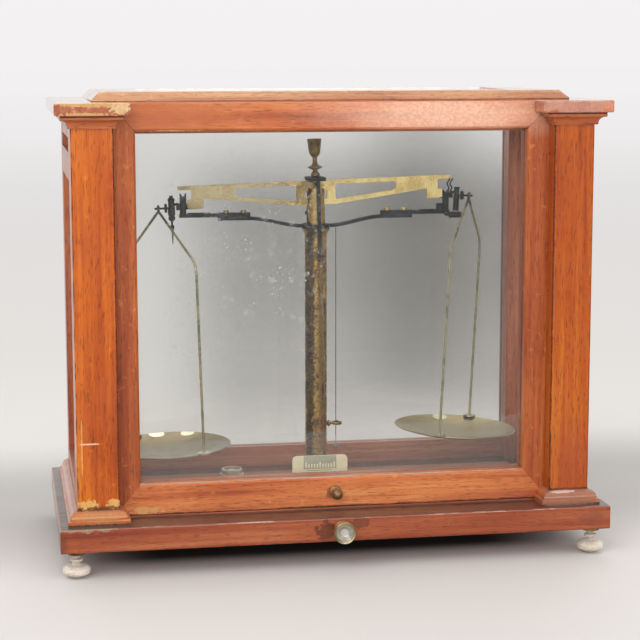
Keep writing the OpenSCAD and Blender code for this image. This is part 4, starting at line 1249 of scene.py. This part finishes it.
@dataclass
class Fittings:
    """Feet, spirit level, scale plate and the screws that hold them."""

    shop: Workshop
    foot_x: float = 217.0
    foot_y: float = -95.25
    level: tuple[float, float] = (-70.0, 61.75)
    floor: float = 43.0
    plate_front: float = -2.15

    def feet(self) -> None:
        """Levelling screws with reeded discs, and the rear foot."""
        for side, node in ((Side.LEFT, "levelling_screw_left"), (Side.RIGHT, "levelling_screw_right")):
            centre = (side.value * self.foot_x, self.foot_y)
            finish = Metal(
                "foot_" + side.name.lower(), screen(252, 242, 228), screen(226, 212, 194), NICKEL.spot, 0.5, 0.4,
                0.4, seed=20 + side.value, lustre=0.25, relief=Reeds(centre, 64),
            )
            self.shop.dress(finish, node)
        self.shop.dress(NICKEL, "rear_foot")
        self.shop.dress(AGED_BRASS, "foot_sockets", "scale_bracket")
        self.shop.dress(NICKEL, "level_case")

    def bubble(self) -> None:
        """The level's vial, its ring and its bubble."""
        self.shop.dress(Pane("level_lens", film=0.05, dust=screen(228, 226, 220), shine=1.0, seed=17), "level_glass")
        x, y = self.level
        place = Matrix.Translation(metres((x, y, self.floor + 4.6)))
        bubble = Modeller.lathe([(0, -0.5), (2.2, -0.4), (3, 0), (2.4, 0.5), (0, 0.8)], place)
        self.shop.add("level_bubble", bubble, NICKEL, "case", "pane")
        place = Matrix.Translation(metres((x, y, self.floor + 1.7)))
        dial = Modeller.lathe([(0, 0), (7.4, 0), (7.4, 0.3), (4.4, 0.3), (4.2, 0.5), (4.0, 0.3), (0, 0.3)], place)
        self.shop.add("level_dial", dial, IVORY_WINDOW, "case", "ivory")

    def plate(self) -> None:
        """The ivory plate with a plain divided scale."""
        self.shop.softened("scale_plate", IVORY, 0.35)
        y = self.plate_front
        window = Modeller.slab((-14.6, y - 0.06, 60.2), (14.4, y + 0.1, 71.9), 0.03)
        self.shop.add("scale_window", window, IVORY_WINDOW, "case", "ivory")
        ticks = bmesh.new()
        for step in range(-5, 6):
            x = step * 2.5
            height = 5.2 if step % 5 == 0 else 3.8
            Modeller.join(ticks, Modeller.slab((x - 0.75, y - 0.12, 60.9), (x + 0.75, y, 60.9 + height), 0.02))
        self.shop.add("scale_ticks", ticks, IVORY, "case", "ivory")
        marks = Modeller.slab((-11.7, y - 0.08, 58.7), (10.3, y + 0.1, 59.1))
        self.shop.add("scale_marks", marks, INK, "case", "ivory")

    def screws(self) -> None:
        """Screws of the scale bracket and of the column's flange."""
        spots = [((-9, 1.2, self.floor + 1.5), 1.5), ((9, 1.2, self.floor + 1.5), 1.5)]
        for angle in (30, 150, 270):
            turn = math.radians(angle)
            spots.append(((13 * math.cos(turn), 18.75 + 13 * math.sin(turn), self.floor + 3.2), 1.3))
        whole = bmesh.new()
        for number, (point, radius) in enumerate(spots):
            place = Modeller.facing(point, (0, 0, 1)) @ Matrix.Rotation(0.6 * number, 4, "Z")
            Modeller.join(whole, Modeller.screw(place, radius))
        self.shop.add("floor_screws", whole, BRIGHT_BRASS, "case", "beam_brass")

    def build(self) -> None:
        """All the fittings."""
        self.feet()
        self.bubble()
        self.plate()
        self.screws()


@dataclass
class BalanceWork:
    """Column, arrestment, beam and pans."""

    shop: Workshop

    def build(self) -> None:
        """Finishes for the balance itself."""
        dress = self.shop.dress
        dress(AGED_BRASS, "column_base", "column_tube", "column_collar", "column_head", "plumb_eye")
        dress(AGATE, "agate_planes")
        dress(NICKEL, "lift_rod", "arrest_shaft", "arrest_cam")
        dress(PLUMB_METAL, "plumb_bob")
        dress(DARK_STEEL, "arrest_arm", "outer_arms", "beam_rests", "knives")
        dress(POINTER_STEEL, "pointer")
        dress(DARK_STEEL, "stirrup_left", "stirrup_right")
        dress(BRIGHT_BRASS, "arm_screws")
        dress(KNOB_BRASS, "arrest_knob", "shaft_bushes")
        dress(FINIAL_BRASS, "poise_finial")
        dress(WIRE_BRASS, "hanger_left", "hanger_right")
        dress(PAN_BRASS_LEFT, "pan_left")
        dress(PAN_BRASS_RIGHT, "pan_right")
        self.shop.softened("beam", BRIGHT_BRASS, 0.3)
        self.shop.softened("yoke_plate", DARK_STEEL, 0.4)
        self.small_fittings()

    def small_fittings(self) -> None:
        """The wires, barrel, stop and tip at the right end of the beam, and the head's screw."""
        rests = self.shop.bodies["beam_rests"]
        arms = self.shop.bodies["outer_arms"]
        wires = bmesh.new()
        curve = ((0.0, 296.4), (0.4, 299.6), (1.6, 301.6), (2.6, 304.0), (1.0, 307.0), (2.4, 310.2), (3.6, 312.0))
        for shift in (0.0, 2.6):
            points = [(115.4 + shift + x, 14.6, z) for x, z in curve]
            Modeller.join(wires, Modeller.tube(points, 0.65))
        self.shop.add("right_rest_wires", wires, DARK_STEEL, rests, self.shop.slots["beam_rests"])
        barrel = Modeller.lathe(
            [(0, 0), (2.2, 0), (2.65, 0.5), (2.65, 10.6), (2.3, 11.2), (1.2, 11.2), (1.2, 10.8), (0, 10.8)],
            Modeller.facing((117.0, 11.4, 280.4), (1, 0, 0)),
        )
        Modeller.join(barrel, Modeller.slab((114.2, 10.4, 279.6), (118.4, 16.4, 282.6), 0.3))
        self.shop.add("right_arm_barrel", barrel, DARK_STEEL, arms, self.shop.slots["outer_arms"])
        end = Modeller.lathe([(0, 0), (1.1, 0), (1.1, 0.5), (0, 0.7)], Modeller.facing((127.9, 11.4, 280.4), (1, 0, 0)))
        self.shop.add("right_barrel_end", end, COPPER, arms, self.shop.slots["outer_arms"])
        stop = Modeller.slab((106.6, 12.4, 283.2), (112.0, 15.95, 290.6), 0.4)
        self.shop.add("right_stop", stop, DARK_STEEL, arms, self.shop.slots["outer_arms"])
        tip = Modeller.lathe(
            [(0, -0.6), (1.0, -0.6), (1.2, 0), (0.9, 1.0), (0, 1.3)], Modeller.facing((118.2, 14.2, 300.4), (0.3, -1, 0.2))
        )
        self.shop.add("right_rest_tip", tip, FINIAL_BRASS, rests, self.shop.slots["beam_rests"])
        screw = Modeller.screw(Modeller.facing((-8.4, 18.75, 283.3), (-1, 0, 0)), 1.7)
        self.shop.add("head_screw", screw, DARK_STEEL, "case", self.shop.slots["column_head"])


@dataclass
class Stage:
    """The pale floor, the world and the lamps."""

    floor_colour: Colour = screen(226, 222, 218)
    ambient: float = 0.8
    painted_shadow_band: float = 0.34

    def floor(self) -> None:
        """A wide pale floor that keeps the shadow, with a soft painted shadow round the object and a painted near-black
        shadow beneath the plinth, and fades to the background far off.
        """
        shape = bmesh.new()
        bmesh.ops.create_grid(shape, x_segments=8, y_segments=8, size=40)
        data = bpy.data.meshes.new("floor")
        shape.to_mesh(data)
        shape.free()
        floor = bpy.data.objects.new("floor", data)
        bpy.context.scene.collection.objects.link(floor)
        material = bpy.data.materials.new("floor")
        material.use_nodes = True
        graph = Graph(material.node_tree)
        x, y, _ = graph.axes()
        radius = (x * x + y * y) ** 0.5
        log = graph.add("ShaderNodeMath", {"operation": "LOGARITHM"}, {0: radius.most(0.01), 1: 10.0})
        stops = (
            (0.0, screen(232, 229, 225)), (0.27, screen(227, 224, 221)), (0.43, screen(226, 223, 222)),
            (0.55, screen(228, 226, 225)), (0.73, screen(237, 235, 235)), (1.0, screen(242, 240, 240)),
        )
        far = graph.add("ShaderNodeValToRGB", {"stops": stops}, {0: (log + 0.2) * (1 / 1.5)})
        camera = graph.add("ShaderNodeLightPath", out="Is Camera Ray")
        mirror = graph.add("ShaderNodeLightPath", out="Is Glossy Ray")
        seen = camera.most(mirror * y.rise(0.1, 0.6))
        # Painted shadow: a soft dark strip round and behind the object, and a near-black patch beneath the plinth.
        painted_shadow_band = Cloud((-1400, -5), (1400, 320), (500, 115), self.painted_shadow_band, (Axis.X, Axis.Y)).mask(graph)
        painted_under_shadow = Cloud((-185, -60), (180, 110), (45, 16), 0.92, (Axis.X, Axis.Y)).mask(graph)
        tone = graph.blend(painted_shadow_band, self.floor_colour, (0.02, 0.018, 0.016, 1))
        near = graph.principled({"Base Color": tone, "Roughness": 0.7})
        shadow_black = graph.add("ShaderNodeBsdfDiffuse", {}, {"Color": (0.012, 0.01, 0.009, 1)})
        near = graph.add("ShaderNodeMixShader", {}, {0: painted_under_shadow, 1: near, 2: shadow_black})
        glow = graph.add("ShaderNodeEmission", {}, {"Color": far, "Strength": 1.0})
        dim = graph.add("ShaderNodeEmission", {}, {"Color": (0.05, 0.05, 0.05, 1), "Strength": 1.0})
        near = graph.add("ShaderNodeMixShader", {}, {0: mirror * y.rise(0.1, -0.2) * 0.7, 1: near, 2: dim})
        graph.surface(
            graph.add("ShaderNodeMixShader", {}, {0: radius.rise(0.45, 1.0) * seen, 1: near, 2: glow})
        )
        floor.data.materials.append(material)
        floor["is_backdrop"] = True

    def world(self) -> None:
        """A pale world: bright to the camera, softer as a light."""
        world = bpy.data.worlds.new("studio")
        bpy.context.scene.world = world
        world.use_nodes = True
        graph = Graph(world.node_tree)
        height = graph.add(
            "ShaderNodeSeparateXYZ", {}, {0: graph.add("ShaderNodeTexCoord", out="Generated")}, out="Z"
        )
        sky = graph.add(
            "ShaderNodeValToRGB",
            {"stops": ((0.0, screen(243, 241, 241)), (0.2, screen(247, 246, 247)))},
            {0: height},
        )
        way = graph.add("ShaderNodeSeparateXYZ", {}, {0: graph.add("ShaderNodeTexCoord", out="Generated")}, out="Y")
        light = graph.add(
            "ShaderNodeValToRGB",
            {"stops": ((0.0, (0.5, 0.5, 0.5, 1)), (0.5, (0.8, 0.8, 0.8, 1)), (1.0, (1, 1, 1, 1)))},
            {0: height * 0.5 + 0.5},
        )
        around = way.rise(-0.1, 0.5).most(height.rise(0.35, 0.8))
        studio = graph.blend(around, (0.07, 0.068, 0.065, 1), (0.88, 0.87, 0.86, 1))
        seen = graph.add("ShaderNodeLightPath", out="Is Camera Ray")
        mirrored = graph.add("ShaderNodeLightPath", out="Is Glossy Ray")
        shown = graph.add("ShaderNodeBackground", {}, {"Color": sky, "Strength": 1.0})
        reflected = graph.add("ShaderNodeBackground", {}, {"Color": studio, "Strength": 1.0})
        lit = graph.add("ShaderNodeBackground", {}, {"Color": light, "Strength": self.ambient})
        mixed = graph.add("ShaderNodeMixShader", {}, {0: mirrored, 1: lit, 2: reflected})
        mixed = graph.add("ShaderNodeMixShader", {}, {0: seen, 1: mixed, 2: shown})
        graph.add("ShaderNodeOutputWorld", {}, {"Surface": mixed})

    @staticmethod
    def lamp(name: str, at: Point, aim: Point, size: tuple[float, float], power: float) -> None:
        """A rectangular lamp that looks at a point."""
        data = bpy.data.lights.new(name, "AREA")
        data.shape = "RECTANGLE"
        data.size, data.size_y = size
        data.energy = power
        lamp = bpy.data.objects.new(name, data)
        lamp.location = at
        lamp.rotation_euler = (Vector(aim) - Vector(at)).to_track_quat("-Z", "Y").to_euler()
        bpy.context.scene.collection.objects.link(lamp)

    def build(self) -> None:
        """Floor, world and three soft lamps."""
        self.floor()
        self.world()
        self.lamp("key", (-1.5, -2.0, 2.3), (0, 0, 0.15), (2.4, 1.8), 30)
        self.lamp("fill", (2.2, -1.9, 1.6), (0, 0, 0.15), (2.2, 1.8), 10)
        self.lamp("low", (-0.4, -2.6, 0.8), (0, 0, 0.1), (3.2, 0.9), 28)
        self.lamp("back", (0.3, 2.0, 2.4), (0, 0, 0.15), (2.4, 1.4), 18)


@dataclass(frozen=True)
class ViewPoint:
    """The photograph's camera."""

    at: Point = (-271.6, -1548.75, 422.6)
    yaw: float = 9.962
    pitch: float = -8.354
    roll: float = -0.075
    lens: float = 103.01

    def build(self) -> None:
        """Creates the camera and makes it the scene's."""
        yaw, pitch, roll = (math.radians(angle) for angle in (self.yaw, self.pitch, self.roll))
        ahead = Vector((math.sin(yaw) * math.cos(pitch), math.cos(yaw) * math.cos(pitch), math.sin(pitch)))
        level = Vector((math.cos(yaw), -math.sin(yaw), 0))
        over = level.cross(ahead)
        right = level * math.cos(roll) + over * math.sin(roll)
        up = over * math.cos(roll) - level * math.sin(roll)
        turn = Matrix((right, up, -ahead)).transposed().to_4x4()
        data = bpy.data.cameras.new("camera")
        data.lens = self.lens
        data.sensor_fit = "HORIZONTAL"
        data.sensor_width = 36
        data.clip_end = 100
        camera = bpy.data.objects.new("camera", data)
        camera.matrix_world = Matrix.Translation(metres(self.at)) @ turn
        bpy.context.scene.collection.objects.link(camera)
        bpy.context.scene.camera = camera


def corners() -> list[list[float]]:
    """The whole object's box as plain numbers."""
    return [[float(value) for value in corner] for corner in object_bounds()]


def main() -> None:
    """Builds the view, the stage and every assembly in order."""
    logging.basicConfig(level=logging.INFO, format="%(name)s %(message)s")
    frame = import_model()
    ViewPoint().build()
    shop = Workshop(frame)
    CaseWork(shop).build()
    SashWork(shop).build()
    Fittings(shop).build()
    BalanceWork(shop).build()
    Stage().build()
    bpy.context.scene.view_settings.view_transform = "Standard"


if __name__ == "__main__":
    main()
